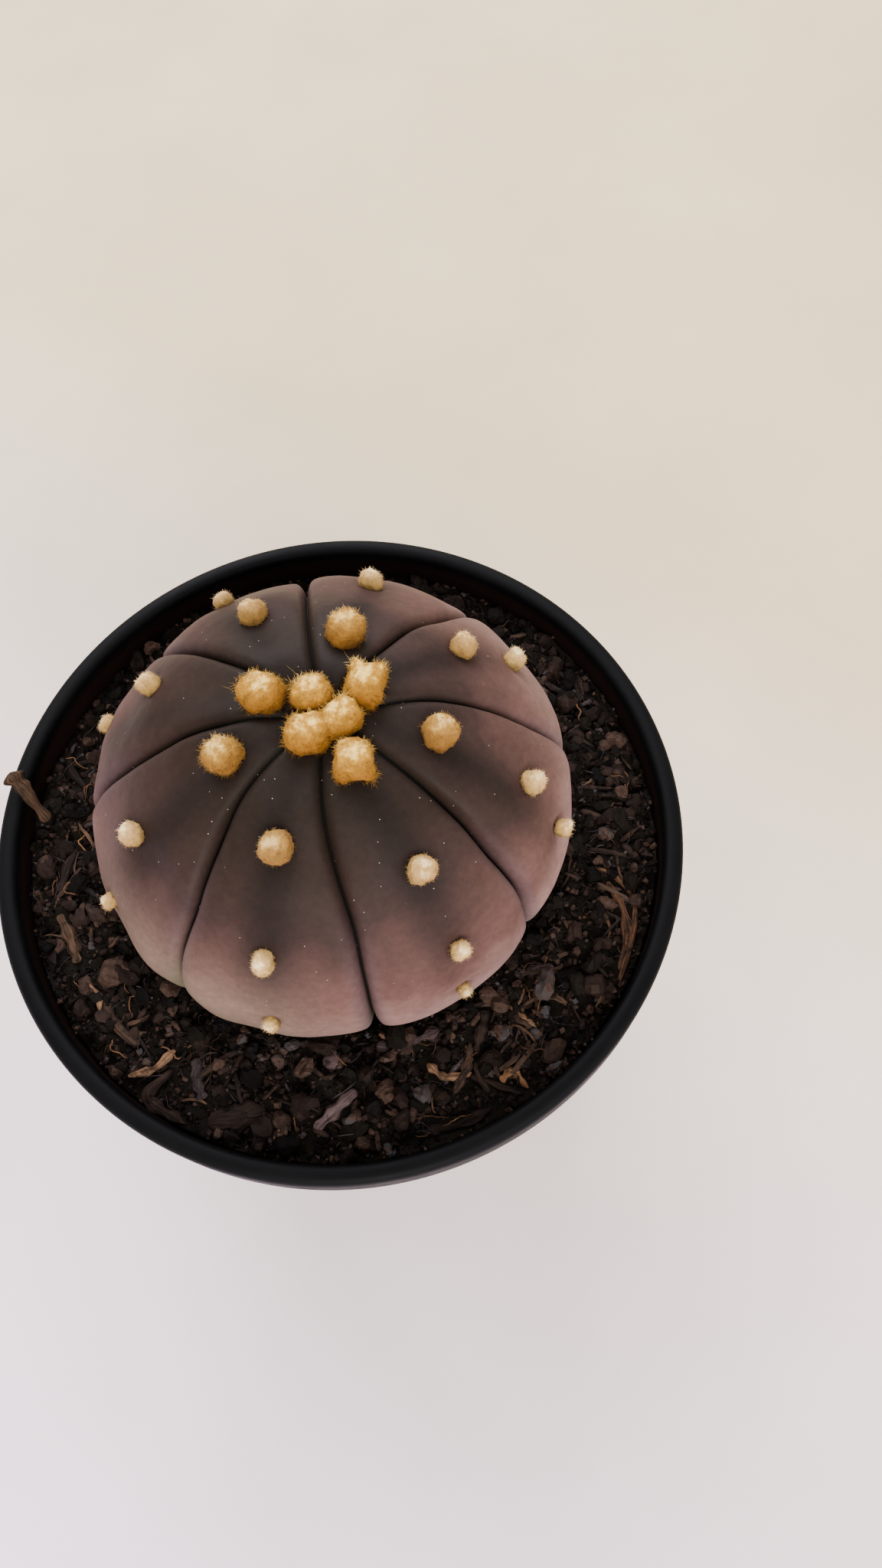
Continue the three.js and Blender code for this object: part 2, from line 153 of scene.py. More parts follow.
def smoothstep(low, high, value):
    """Rises from 0 at low to 1 at high along a smooth S."""
    t = np.clip((value - low) / (high - low), 0, 1)
    return t * t * (3 - 2 * t)


def unit(vectors):
    """Each vector divided by its length."""
    return vectors / np.maximum(np.linalg.norm(vectors, axis=-1, keepdims=True), 1e-12)


# %% [markdown]
# One small function adds a shader node with its settings, values and links. Colours are written as sRGB
# hex values and turned to linear light once.

# %% Material tools
def colour(code):
    """An sRGB hex value as linear red, green, blue and alpha."""
    share = np.array([int(code[i:i + 2], 16) for i in (0, 2, 4)]) / 255
    linear = np.where(share <= 0.04045, share / 12.92, ((share + 0.055) / 1.055) ** 2.4)
    return (*linear.tolist(), 1.0)


def shader_of(material):
    return material.node_tree.nodes["Principled BSDF"]


def new_material(name, constants):
    """A material with its main shader, whose constant values are set on its sockets."""
    material = bpy.data.materials.new(name)
    material.use_nodes = True
    for socket, value in constants.items():
        shader_of(material).inputs[socket].default_value = value
    return material


def add(material, kind, values=None, links=None, stops=None, **settings):
    """Adds a node: its own settings, its sockets' values, what feeds them, and a ramp's colour stops."""
    made = material.node_tree.nodes.new(kind)
    for setting, value in settings.items():
        setattr(made, setting, value)
    for socket, value in (values or {}).items():
        made.inputs[socket].default_value = value
    for socket, source in (links or {}).items():
        material.node_tree.links.new(source, made.inputs[socket])
    for i, (place, code) in enumerate(stops or []):
        ramp = made.color_ramp.elements
        stop = ramp[i] if i < len(ramp) else ramp.new(place)
        stop.position = place
        stop.color = colour(code)
    return made


def feed(material, socket, source):
    """Joins a node's output to a socket of the material's main shader."""
    material.node_tree.links.new(source, shader_of(material).inputs[socket])


# %% [markdown]
# ## The pot
# A nursery pot is injection-moulded polypropylene: a thin tapered wall, a thicker rolled lip, a recessed
# floor with drainage holes and a foot ring. It could be a bevelled copy of the CAD solid, but a profile
# with real round edges, spun round the axis, reflects light as the moulding does.

# %% Pot sizes from the frame
pot_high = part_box("pot")[1]
RIM_RADIUS = pot_high.x / MM
POT_HEIGHT = pot_high.z / MM
BASE_RADIUS = 33.0
WALL = 1.2
LIP_WIDTH = 2.6
LIP_DEPTH = 6.0
FOOT_HEIGHT = 1.6
FOOT_WIDTH = 4.0
FLOOR_THICKNESS = 1.5
DRAIN_RADIUS = 4.0
DRAIN_CIRCLE = 20.0
DRAIN_COUNT = 6
STEP_DROP = 5.0  # from the lip's lower edge down to the step in the wall
POT_SIDES = 216
LIP_INNER = RIM_RADIUS - LIP_WIDTH


def wall_radius(height):
    """The outside of the pot's wall at a height: a straight taper from the base to the lip."""
    return BASE_RADIUS + (LIP_INNER + WALL - BASE_RADIUS) * height / (POT_HEIGHT - LIP_DEPTH)


def rounded(corners, steps=7):
    """A profile through [radius, height, rounding] corners: each is cut back and bridged by a smooth arc."""
    spots = np.array([corner[:2] for corner in corners], float)
    out = [spots[0]]
    for before, here, after, corner in zip(spots, spots[1:], spots[2:], corners[1:]):
        start = here + unit(before - here) * corner[2]
        end = here + unit(after - here) * corner[2]
        t = np.linspace(0, 1, steps)[:, None]
        out.extend((1 - t) ** 2 * start + 2 * t * (1 - t) * here + t ** 2 * end)
    out.append(spots[-1])
    return np.array(out)


def spin(name, profile, sides):
    """Carries a profile of [radius, height] once round the Z axis."""
    angle = np.arange(sides) * 2 * np.pi / sides
    radius, height = profile[:, :1], profile[:, 1:]
    points = np.stack([radius * np.cos(angle), radius * np.sin(angle), height + 0 * angle], -1)
    return close_poles(new_object(name, points.reshape(-1, 3), ring_faces(len(profile), sides)))


lip_bottom = POT_HEIGHT - LIP_DEPTH
step_height = lip_bottom - STEP_DROP
floor_top = FOOT_HEIGHT + FLOOR_THICKNESS
pot_profile = rounded([
    (0, FOOT_HEIGHT, 0),
    (BASE_RADIUS - FOOT_WIDTH - FOOT_HEIGHT, FOOT_HEIGHT, 0.5),
    (BASE_RADIUS - FOOT_WIDTH, 0, 0.5),
    (BASE_RADIUS, 0, 0.8),
    (wall_radius(step_height), step_height, 0.4),
    (wall_radius(step_height) + 0.35, step_height + 0.4, 0.2),
    (wall_radius(lip_bottom) + 0.1, lip_bottom, 0.3),
    (RIM_RADIUS, lip_bottom, 0.5),
    (RIM_RADIUS, POT_HEIGHT, 1.25),
    (LIP_INNER, POT_HEIGHT, 1.2),
    (LIP_INNER, lip_bottom, 1.0),
    (wall_radius(floor_top) - WALL, floor_top, 1.0),
    (0, floor_top, 0),
])
pot = spin("pot_moulded", pot_profile, POT_SIDES)

drills = []
for i in range(DRAIN_COUNT):
    angle = 2 * math.pi * i / DRAIN_COUNT
    bpy.ops.mesh.primitive_cylinder_add(
        vertices=48, radius=DRAIN_RADIUS * MM, depth=12 * MM,
        location=(DRAIN_CIRCLE * MM * math.cos(angle), DRAIN_CIRCLE * MM * math.sin(angle), 0))
    drills.append(bpy.context.object)
for drill in drills:
    cut = pot.modifiers.new("drain", "BOOLEAN")
    cut.object = drill
    cut.solver = "EXACT"
bpy.context.view_layer.objects.active = pot
for cut in list(pot.modifiers):
    bpy.ops.object.modifier_apply(modifier=cut.name)
for drill in drills:
    bpy.data.objects.remove(drill)
print("pot:", len(pot.data.polygons), "faces")

# %% [markdown]
# Black polypropylene has an IOR near 1.49. The mould leaves it satin, with a very fine grain, and daily
# handling leaves a little pale dust and dried water marks. Above the soil, the inside of the lip is
# browner. The grain is 0.3 mm here, a little coarser than a real one, so that it shows.

# %% Pot material: polypropylene, injection moulded
plastic = new_material("polypropylene_moulded_black", {"IOR": 1.49, "Specular IOR Level": 0.06})
where = add(plastic, "ShaderNodeTexCoord").outputs["Object"]
marks = add(plastic, "ShaderNodeTexNoise", {"Scale": 1 / (9 * MM), "Detail": 6.0, "Roughness": 0.62},
            {"Vector": where})
grain = add(plastic, "ShaderNodeTexNoise", {"Scale": 1 / (0.3 * MM), "Detail": 2.0}, {"Vector": where})
tint = add(plastic, "ShaderNodeValToRGB", None, {"Fac": marks.outputs["Fac"]},
           [(0.4, "030304"), (0.68, "060607"), (0.84, "0f1114")])
flat = add(plastic, "ShaderNodeVectorMath", {1: (1, 1, 0)}, {0: where}, operation="MULTIPLY").outputs[0]
from_axis = add(plastic, "ShaderNodeVectorMath", None, {0: flat}, operation="LENGTH").outputs["Value"]
up = add(plastic, "ShaderNodeSeparateXYZ", None, {0: where}).outputs["Z"]
# The brown inside the lip: for each mask, the number it reads, and where in millimetres it is nothing and
# full.
INSIDE_BROWN_STRENGTH = 0.85
INSIDE_BROWN_MASKS = [(up, POT_HEIGHT - 12, POT_HEIGHT - 10), (up, POT_HEIGHT - 0.9, POT_HEIGHT - 2.6),
               (from_axis, LIP_INNER + 0.5, LIP_INNER + 0.2)]
inside_browning = None
for number, gone, full in INSIDE_BROWN_MASKS:
    links = {"Value": number}
    if inside_browning:
        links["To Max"] = inside_browning  # a second mask rises to the first one's result, so the two multiply
    inside_browning = add(plastic, "ShaderNodeMapRange",
                {"From Min": gone * MM, "From Max": full * MM, "To Max": INSIDE_BROWN_STRENGTH},
                links).outputs["Result"]
# Browner on the inside of the lip, above the soil.
browned_inside = add(plastic, "ShaderNodeMix", {7: colour("170d0a")}, {0: inside_browning, 6: tint.outputs["Color"]},
              data_type="RGBA").outputs[2]
feed(plastic, "Base Color", browned_inside)
satin = add(plastic, "ShaderNodeMapRange",
            {"From Min": 0.3, "From Max": 0.75, "To Min": 0.48, "To Max": 0.64},
            {"Value": marks.outputs["Fac"]})
feed(plastic, "Roughness", satin.outputs["Result"])
relief = add(plastic, "ShaderNodeBump", {"Strength": 0.12, "Distance": 0.05 * MM},
             {"Height": grain.outputs["Fac"]})
feed(plastic, "Normal", relief.outputs["Normal"])
pot.data.materials.append(plastic)

# %% [markdown]
# ## The cactus body
# The body grew as one piece: a flattened dome whose skin folds in at eight grooves and, below the soil,
# draws in to a carrot-shaped root. It is one surface of two parameters: the distance from the crown down
# the skin, and the way round. The grooves swing a little as they go down, and the ribs are not equal.

# %% Body sizes
BODY_CENTRE = np.array([0.9, 2.5, 73.5])
BODY_RADIUS = 30.0
BODY_RISE = 24.7
UNDERSIDE = math.radians(40)
DIMPLE_DEPTH = 1.1
DIMPLE_RADIUS = 5.0
NECK_RADIUS, NECK_HEIGHT, TIP_HEIGHT = 6.0, 44.0, 24.0
CREASE_DEPTH = 1.7
CREASE_WIDTH = 0.65
SLIT_DEPTH = 0.7
SLIT_WIDTH = 0.28
# Flanks with a different tint, each by the azimuth of its middle and its width.
SUNNED_SIDE, SUNNED_WIDTH = 40, 65  # rosiest, by the sun
# The dull flank is darker and browner than the rest.
DULL_SIDE, DULL_WIDTH = 170, 36  # browner than the rest
GREEN_SIDE, GREEN_WIDTH = 229, 44  # its grooves have stayed green
# Each groove: azimuth low on the flank, azimuth beside the crown, depth and reach against the usual.
GROOVES = np.array([
    (5, 11, 0.8, 0.99), (49, 52, 0.9, 0.97), (97, 97, 1.0, 0.965), (142, 140, 0.9, 1.02),
    (182, 178, 0.8, 1.055), (230, 221, 0.9, 1.055), (276, 268, 1.0, 1.005), (322, 324, 1.05, 0.98)])
RIBS = len(GROOVES)
# How far each rib's dark band is moved to one side, towards the rib's shaded side as painted shade, against
# half of the rib's width.
BAND_SHIFT_TO_SHADE = np.array([0, 0, 0.2, 0.4, 0.15, 0, 0, -0.2])
# Areoles on the rib after each groove: distance from the crown and sideways offset.
AREOLES = [
    [(5.6, -0.3), (20.4, 1.2), (28.7, -0.4), (44.0, 0)],
    [(11.1, 0), (24.4, 0.8), (40.5, 0)],
    [(2.2, -0.3), (18.3, -0.4), (30.5, 0.4), (42.5, 0)],
    [(6.8, -0.3), (24.1, -1.8), (34.5, 0.9), (45.0, 0)],
    [(11.5, 0), (25.9, -1.2), (37.5, 0.5)],
    [(2.7, 0), (15.6, 0.6), (28.7, -0.4), (39.3, 0.4)],
    [(7.1, 0.5), (20.9, 0.8), (32.7, 0.5), (41.5, -0.5)],
    [(2.4, -0.6), (13.3, 0.6), (26.8, 1.0), (35.6, -0.8)],
]

# %% [markdown]
# The dome's outline is a quarter ellipse that runs on below its widest level. Its length is summed in
# small steps, so that a distance down the skin can be turned into a radius and a height.

# %% The outline of the dome and root
angles = np.linspace(math.pi / 2, -UNDERSIDE, 2000)
outline = np.stack([BODY_RADIUS * np.cos(angles), BODY_CENTRE[2] + BODY_RISE * np.sin(angles)], 1)
lengths = np.concatenate([[0], np.cumsum(np.linalg.norm(np.diff(outline, axis=0), axis=1))])
DOME_LENGTH = lengths[-1]


def dome(distance):
    """Radius and height on the ellipse at a distance down the skin, with the crown's small dimple."""
    radius = np.interp(distance, lengths, outline[:, 0])
    height = np.interp(distance, lengths, outline[:, 1])
    return radius, height - DIMPLE_DEPTH * np.exp(-(radius / DIMPLE_RADIUS) ** 2)


def dome_slope(distance):
    """The way straight out of the skin, in radius and height, at a distance down the skin."""
    angle = np.interp(distance, lengths, angles)
    return unit(np.stack([BODY_RISE * np.cos(angle), BODY_RADIUS * np.sin(angle)], -1))


def bezier(corners, steps):
    """A cubic curve through four control points: each weighs in by its Bernstein share."""
    t = np.linspace(0, 1, steps + 1)[1:, None]
    a, b, c, d = np.array(corners, float)
    return (1 - t) ** 3 * a + 3 * t * (1 - t) ** 2 * b + 3 * t ** 2 * (1 - t) * c + t ** 3 * d


def groove_azimuth(groove, distance):
    """Where a groove runs: it swings from its azimuth at the crown to the one on its flank."""
    flank, crown = GROOVES[groove % RIBS, 0], GROOVES[groove % RIBS, 1]
    return groove // RIBS * 360 + crown + (flank - crown) * smoothstep(6, 28, distance)


def rib_azimuth(rib, across, distance):
    """The azimuth of a place on a rib: across runs from 0 at its first groove to 1 at its second."""
    return (1 - across) * groove_azimuth(rib, distance) + across * groove_azimuth(rib + 1, distance)


def reach(rib, across, radius):
    """How far the flank stands out against the ellipse. It tells most at the widest level."""
    share = smoothstep(0, 1, across)
    usual = (1 - share) * GROOVES[rib % RIBS, 3] + share * GROOVES[(rib + 1) % RIBS, 3]
    return 1 + (usual - 1) * (radius / BODY_RADIUS) ** 2


def rib_drop(rib, across, distance, radius):
    """How far the skin lies below the crest: a broad round shoulder, a crease, and a fine slit in it."""
    side = np.abs(2 * across - 1)
    depth = np.where(across < 0.5, GROOVES[rib % RIBS, 2], GROOVES[(rib + 1) % RIBS, 2])
    away = (1 - side) * np.pi * radius / RIBS
    fade = 0.22 + 0.78 * smoothstep(0, 26, distance)
    crease = np.exp(-(away / CREASE_WIDTH) ** 2)
    slit = SLIT_DEPTH * np.exp(-(away / SLIT_WIDTH) ** 2) * smoothstep(0, 4, distance)
    return depth * fade * (CREASE_DEPTH * (0.4 * side ** 6 + 0.6 * crease) + slit)


# %% [markdown]
# Each areole's place and outward way follow from the same functions, and so does the width of its tuft:
# the tufts are widest at the crown and wear smaller as the plant pushes them down the rib.

# %% Areole sites
TUFT_DIAMETER = 4.4  # of the youngest, beside the crown
TUFT_YOUNG_REACH = 8.0  # tufts nearer the crown than this are all full size
TUFT_SHRINK = 0.072  # lost from the diameter for each millimetre further down
TUFT_WORN = 0.13  # the share of its width that a tuft on the flank has lost to wear


def areole_sites():
    """A row for each areole: place, way out, way down the rib, diameter and distance from the crown."""
    sites = []
    for rib, spots in enumerate(AREOLES):
        for distance, sideways in spots:
            radius, height = dome(distance)
            slope = dome_slope(distance)
            radius = radius * reach(rib, 0.5, radius)
            azimuth = math.radians(rib_azimuth(rib, 0.5, distance)) + sideways / radius
            round_way = np.array([math.cos(azimuth), math.sin(azimuth), 0])
            place = np.array([BODY_CENTRE[0], BODY_CENTRE[1], height]) + radius * round_way
            out = slope[0] * round_way + slope[1] * np.array([0, 0, 1])
            down = slope[1] * round_way - slope[0] * np.array([0, 0, 1])
            width = TUFT_DIAMETER - TUFT_SHRINK * max(0, distance - TUFT_YOUNG_REACH)
            width *= 1 - TUFT_WORN * float(smoothstep(12, 20, distance))
            sites.append((place, out, down, width, distance))
    return sites


sites = areole_sites()
print("areoles:", len(sites))

# %% [markdown]
# The skin's rows run from the crown to the root's tip, and its columns crowd towards the grooves, where
# the surface turns fastest. Each tuft sits in a shallow seat.

# %% The body mesh
COLUMNS_PER_RIB = 44
CROWDING = 0.82  # how strongly the columns crowd towards the grooves: 0 is evenly spread
SEAT_DEPTH = 0.45
edge = np.array(dome(DOME_LENGTH))
slope_end = dome_slope(DOME_LENGTH)
onward = np.array([slope_end[1], -slope_end[0]])
underside = bezier([edge, edge + 11 * onward,
                    (NECK_RADIUS + 1, NECK_HEIGHT + 6), (NECK_RADIUS, NECK_HEIGHT)], 16)
root = bezier([(NECK_RADIUS, NECK_HEIGHT), (NECK_RADIUS - 0.8, NECK_HEIGHT - 6),
               (NECK_RADIUS / 2, TIP_HEIGHT + 2), (0, TIP_HEIGHT)], 14)
steps = np.concatenate([np.linspace(0, 6, 25)[:-1], np.linspace(6, DOME_LENGTH, 140)])
rows = np.concatenate([np.stack(dome(steps), 1), underside, root])
distance = np.concatenate([steps, np.full(len(underside) + len(root), DOME_LENGTH)])
strength = np.concatenate([np.ones(len(steps)), np.linspace(0.95, 0, len(underside)), np.zeros(len(root))])
along = unit(np.gradient(rows, axis=0))
out = np.stack([-along[:, 1], along[:, 0]], 1)
out[0], out[-1] = (0, 1), (0, -1)

even = np.arange(COLUMNS_PER_RIB) / COLUMNS_PER_RIB
crowded = even - CROWDING * np.sin(2 * np.pi * even) / (2 * np.pi)
rib = np.repeat(np.arange(RIBS), COLUMNS_PER_RIB)[None, :]
across = np.tile(crowded, RIBS)[None, :]
D, R, Z = distance[:, None], rows[:, :1], rows[:, 1:]
drop = strength[:, None] * rib_drop(rib, across, D, R)
flank = R * reach(rib, across, R)
azimuth = np.radians(rib_azimuth(rib, across, D))
rough = np.stack([flank * np.cos(azimuth), flank * np.sin(azimuth), Z + 0 * azimuth], -1)
swell = 0.16 * field(rough, 9.0, 3) + 0.012 * field(rough, 2.4, 4)
pole_fade = smoothstep(0, 3, R) * np.ones_like(azimuth)
push = swell * pole_fade - drop
body_points = np.stack([
    BODY_CENTRE[0] + (flank + out[:, :1] * push) * np.cos(azimuth),
    BODY_CENTRE[1] + (flank + out[:, :1] * push) * np.sin(azimuth),
    Z + out[:, 1:] * push], -1)
for place, way, down, width, far in sites:
    gap = np.linalg.norm(body_points - place, axis=-1)
    seat = SEAT_DEPTH * np.exp(-(gap / (0.62 * width)) ** 2)
    body_points -= seat[..., None] * way
body = new_object("cactus_skin", body_points.reshape(-1, 3), ring_faces(len(rows), RIBS * COLUMNS_PER_RIB))
heading = np.degrees(azimuth) % 360
skin_numbers = {
    "down": D + 0 * across,
    # The dark band's middle, moved sideways towards the rib's shaded side as painted shade.
    "band_and_shade": np.abs(2 * across - 1 - BAND_SHIFT_TO_SHADE[rib]) + 0 * D,
    "groove": (1 - np.abs(2 * across - 1)) * np.pi * R / RIBS,
    "dull": (np.exp(-((heading - DULL_SIDE) / DULL_WIDTH) ** 2)
             * smoothstep(6, 16, D) * (1 - smoothstep(20, 31, D))),
    "sunned": (np.exp(-(((heading - SUNNED_SIDE + 180) % 360 - 180) / SUNNED_WIDTH) ** 2)
               * smoothstep(5, 14, D)),
    "green": np.exp(-((heading - GREEN_SIDE) / GREEN_WIDTH) ** 2)}
for name, values in skin_numbers.items():
    set_attribute(body, name, values.ravel())
close_poles(body)
print("body:", len(body.data.polygons), "faces")

# %% [markdown]
# Living epidermis is matt and waxy, so it is rough and has only a weak soft shine. Its colour follows the
# plant's parts, so the mesh carries six numbers: how far down from the crown a corner is, how far to
# the side of its rib's dark band, how far from its groove, and how much it lies on the dull, the sunned and
# the green flank. The crown is grey-brown, the sunned flanks are mauve and rose, the shaded skin in the
# grooves is green, and a darker band runs down through the tufts: partly the skin's own colour, and partly
# painted shade that leans to each rib's shaded side. Painted shade also darkens the crease of each groove,
# and a painted violet-grey sheen lightens the shoulders beside the grooves.

# %% Skin material: epidermis, a thin waxy skin
RAMP_LENGTH = 52.0  # how far down the skin its colour goes on changing
SUNNED_LEAD = 10.0  # how much further up the sunned flank has the colours of a lower place
skin = new_material("epidermis_waxy_mauve", {
    "IOR": 1.45, "Specular IOR Level": 0.08,
    "Sheen Weight": 0.02, "Sheen Roughness": 0.45, "Sheen Tint": colour("cba6a0")})
where = add(skin, "ShaderNodeTexCoord").outputs["Object"]
numbers = {name: add(skin, "ShaderNodeAttribute", attribute_name=name).outputs["Fac"]
           for name in skin_numbers}
clouds = add(skin, "ShaderNodeTexNoise", {"Scale": 1 / (11 * MM), "Detail": 3.0, "Roughness": 0.5},
             {"Vector": where}).outputs["Fac"]
speckle = add(skin, "ShaderNodeTexNoise", {"Scale": 1 / (0.9 * MM), "Detail": 4.0, "Roughness": 0.65},
              {"Vector": where}).outputs["Fac"]
drift = add(skin, "ShaderNodeMath", {1: 16.0, 2: -8.0}, {0: clouds}, operation="MULTIPLY_ADD").outputs[0]
drifting = add(skin, "ShaderNodeMath", None, {0: numbers["down"], 1: drift}, operation="ADD").outputs[0]
numbers["drifting"] = add(skin, "ShaderNodeMath", {1: SUNNED_LEAD}, {0: numbers["sunned"], 2: drifting},
                          operation="MULTIPLY_ADD").outputs[0]
share = add(skin, "ShaderNodeMapRange", {"From Max": RAMP_LENGTH},
            {"Value": numbers["drifting"]}).outputs["Result"]
tone = add(skin, "ShaderNodeValToRGB", None, {"Fac": share}, [
    (0.08, "1a140f"), (0.3, "211813"), (0.5, "30221e"), (0.7, "553c36"), (0.92, "876a63")]).outputs["Color"]

# Colour, strength, and masks: each is full where its number is the first value, and gone at the second.
LAYERS = [
    # The dark band through the tufts: partly the skin's own colour, partly painted shade on each rib's shaded
    # side.
    ("16100d", 0.75, [("band_and_shade", 0.0, 0.55), ("drifting", 21.0, 46.0)]),
    # A painted violet-grey sheen on the shoulders beside the grooves, where the window light catches them.
    ("4a3d40", 0.6, [("groove", 0.4, 2.6), ("down", 42.0, 18.0)]),
    # Darker brown on the left-back flank.
    ("2c1a12", 0.2, [("dull", 0.9, 0.1)]),
    ("6b5c4e", 0.75, [("down", 44.0, 27.0), ("green", 0.9, 0.3)]),
    # Painted shade darkening the crease of each groove.
    ("14150d", 0.5, [("groove", 0.1, 0.45)]),
    ("4d5239", 0.75, [("groove", 0.5, 3.4), ("down", 50.0, 33.0), ("green", 0.9, 0.1)]),
    ("33382a", 0.6, [("groove", 0.15, 0.8), ("down", 51.0, 38.0)]),
    # A near-black line of painted shade deep in each groove's slit.
    ("080705", 0.95, [("groove", 0.07, 0.26)])]
for code, strength, limits in LAYERS:
    amount = None
    for number, full, gone in limits:
        links = {"Value": numbers[number]}
        if amount:
            links["To Min"] = amount  # a second mask falls from the first one's result, so the two multiply
        amount = add(skin, "ShaderNodeMapRange",
                     {"From Min": full, "From Max": gone, "To Min": strength, "To Max": 0.0},
                     links, interpolation_type="SMOOTHSTEP").outputs["Result"]
    tone = add(skin, "ShaderNodeMix", {7: colour(code)}, {0: amount, 6: tone}, data_type="RGBA").outputs[2]

# %% [markdown]
# Two small things finish the skin. Scattered tiny white flecks of hair are all that is left of the scales
# that other star cacti wear, and a few corky dots mark old insect bites. Both are cells of a random
# pattern, 1 to 5 mm apart, with a spot in only some cells. The flecks are 0.1 mm wide, and the dots are
# 0.4 mm wide.

# %% Flecks, dots and pores of the skin
for spacing, size, picked, code in [(1.15, 0.055, 0.55, "a89a92"), (4.6, 0.2, 0.86, "3a1a1a")]:
    cell = add(skin, "ShaderNodeTexVoronoi", {"Scale": 1 / (spacing * MM)}, {"Vector": where})
    chosen = add(skin, "ShaderNodeMath", {1: picked}, {0: cell.outputs["Color"]},
                 operation="GREATER_THAN").outputs[0]
    limits = {"From Min": size / spacing * 0.7, "From Max": size / spacing * 1.2, "To Max": 0.0}
    fleck = add(skin, "ShaderNodeMapRange", limits, {"Value": cell.outputs["Distance"], "To Min": chosen},
                interpolation_type="SMOOTHSTEP").outputs["Result"]
    tone = add(skin, "ShaderNodeMix", {7: colour(code)}, {0: fleck, 6: tone}, data_type="RGBA").outputs[2]
mottle = add(skin, "ShaderNodeMapRange", {"From Min": 0.25, "From Max": 0.75, "To Min": 0.82, "To Max": 1.18},
             {"Value": speckle}).outputs["Result"]
tone = add(skin, "ShaderNodeVectorMath", None, {0: tone, 1: mottle}, operation="MULTIPLY").outputs[0]
feed(skin, "Base Color", tone)
matt = add(skin, "ShaderNodeMapRange", {"From Min": 0.3, "From Max": 0.7, "To Min": 0.5, "To Max": 0.64},
           {"Value": clouds}).outputs["Result"]
feed(skin, "Roughness", matt)
pores = add(skin, "ShaderNodeTexVoronoi", {"Scale": 1 / (0.32 * MM)}, {"Vector": where}).outputs["Distance"]
relief = add(skin, "ShaderNodeBump", {"Strength": 0.25, "Distance": 0.04 * MM}, {"Height": pores})
relief = add(skin, "ShaderNodeBump", {"Strength": 0.3, "Distance": 0.12 * MM},
             {"Height": speckle, "Normal": relief.outputs["Normal"]})
feed(skin, "Normal", relief.outputs["Normal"])
body.data.materials.append(skin)

# %% [markdown]
# ## The wool on the areoles
# Each areole bears a dense plug of felted hairs: blunt, torn and golden beside the crown, smaller, rounder
# and bleached to cream further down. Hair curves would be lost when the model leaves Blender, so every
# hair is a thin closed spindle in the mesh. The plug under them is a superellipsoid, which goes from round
# to almost square as one number changes.

# %% Plugs of felted wool
PLUG_LIFT = 0.35  # how far a plug's middle stands off the skin, against its radius
PLUG_BLUNT = 0.7  # the power that makes a plug blunter than a ball
CROWN_REACH = 13.0  # plugs nearer the crown than this have the long young wool
# Plugs with a shape of their own: squareness, twist in degrees, stretch across and along, and peaks. A peak
# is an azimuth, an elevation, a height, a spread, and how much longer its hairs are.
PLUG_TRAITS = {
    (0, 0): (0.5, 45, (0.94, 1.02), [(36, 34, 0.26, 0.05, 0.6), (113, 40, 0.32, 0.05, 0.8)]),
    (2, 0): (0.8, 0, (1.0, 1.0), [(140, 12, 0.0, 0.12, 1.6)]),
    (3, 0): (0.7, 10, (1.0, 1.05), [(172, 15, 0.3, 0.05, 1.4)]),
    (5, 0): (0.75, 20, (1.12, 1.0), [(200, 30, 0.1, 0.3, 0.4)]),
    (6, 0): (0.5, -27, (1.0, 1.0), [(-48, 5, 0.2, 0.03, 1.8)]),
    (7, 0): (0.7, -30, (1.1, 0.92), []),
}


def world_way(azimuth, elevation):
    """A direction from its azimuth and its elevation in degrees."""
    azimuth, elevation = math.radians(azimuth), math.radians(elevation)
    level = math.cos(elevation)
    return np.array([level * math.cos(azimuth), level * math.sin(azimuth), math.sin(elevation)])


def signed_power(value, power):
    """A number's size raised to a power, with its sign kept."""
    return np.sign(value) * np.abs(value) ** power


def plug_point(polar, turn, site):
    """A point on a plug: a superellipsoid whose axes are raised to a power, then dented and drawn to peaks.

    Sideways it reaches sin(polar)^blunt, upwards cos(polar)^blunt, both times its radius and its swelling."""
    reach_out = signed_power(np.sin(polar), PLUG_BLUNT)
    local = np.stack([
        site["stretch"][0] * reach_out * signed_power(np.cos(turn), site["square"]),
        site["stretch"][1] * reach_out * signed_power(np.sin(turn), site["square"]),
        0.95 * signed_power(np.cos(polar), PLUG_BLUNT)], -1)
    way = unit(local)
    swelling = 1 + 0.06 * field(way, 1.6, site["seed"]) + 0.03 * field(way, 0.6, site["seed"] + 1)
    swelling += 0.022 * field(way, 0.22, site["seed"] + 2)
    for peak, height, spread, _ in site["peaks"]:
        swelling += height * np.exp(-(1 - way @ peak) / spread)
    local = local * swelling[..., None] + np.array([0, 0, PLUG_LIFT])
    return site["place"] + 0.5 * site["width"] * local @ site["axes"]


plugs = []
order = 0
for rib_number, spots in enumerate(AREOLES):
    for spot_number in range(len(spots)):
        place, out_way, down_way, width, far = sites[order]
        usual = (random.uniform(0.82, 1.0), random.uniform(0, 90), random.uniform(0.94, 1.06, 2), [])
        square, twist, stretch, peaks = PLUG_TRAITS.get((rib_number, spot_number), usual)
        across_way = np.cross(down_way, out_way)
        cos, sin = math.cos(math.radians(twist)), math.sin(math.radians(twist))
        axes = np.stack([cos * across_way + sin * down_way, cos * down_way - sin * across_way, out_way])
        plugs.append({
            "place": place, "axes": axes, "width": width, "square": square, "stretch": stretch,
            "seed": 100 + 5 * order, "age": float(smoothstep(6, 30, far)), "young": far < CROWN_REACH,
            "peaks": [(axes @ world_way(a, e), *rest) for a, e, *rest in peaks]})
        order += 1
print("young plugs:", sum(plug["young"] for plug in plugs))

# %% [markdown]
# A hair is a spindle with three sides: its path starts at the plug, and bends as it goes. The same sweep
# makes hairs, fibres and twigs, so it takes many paths at once.

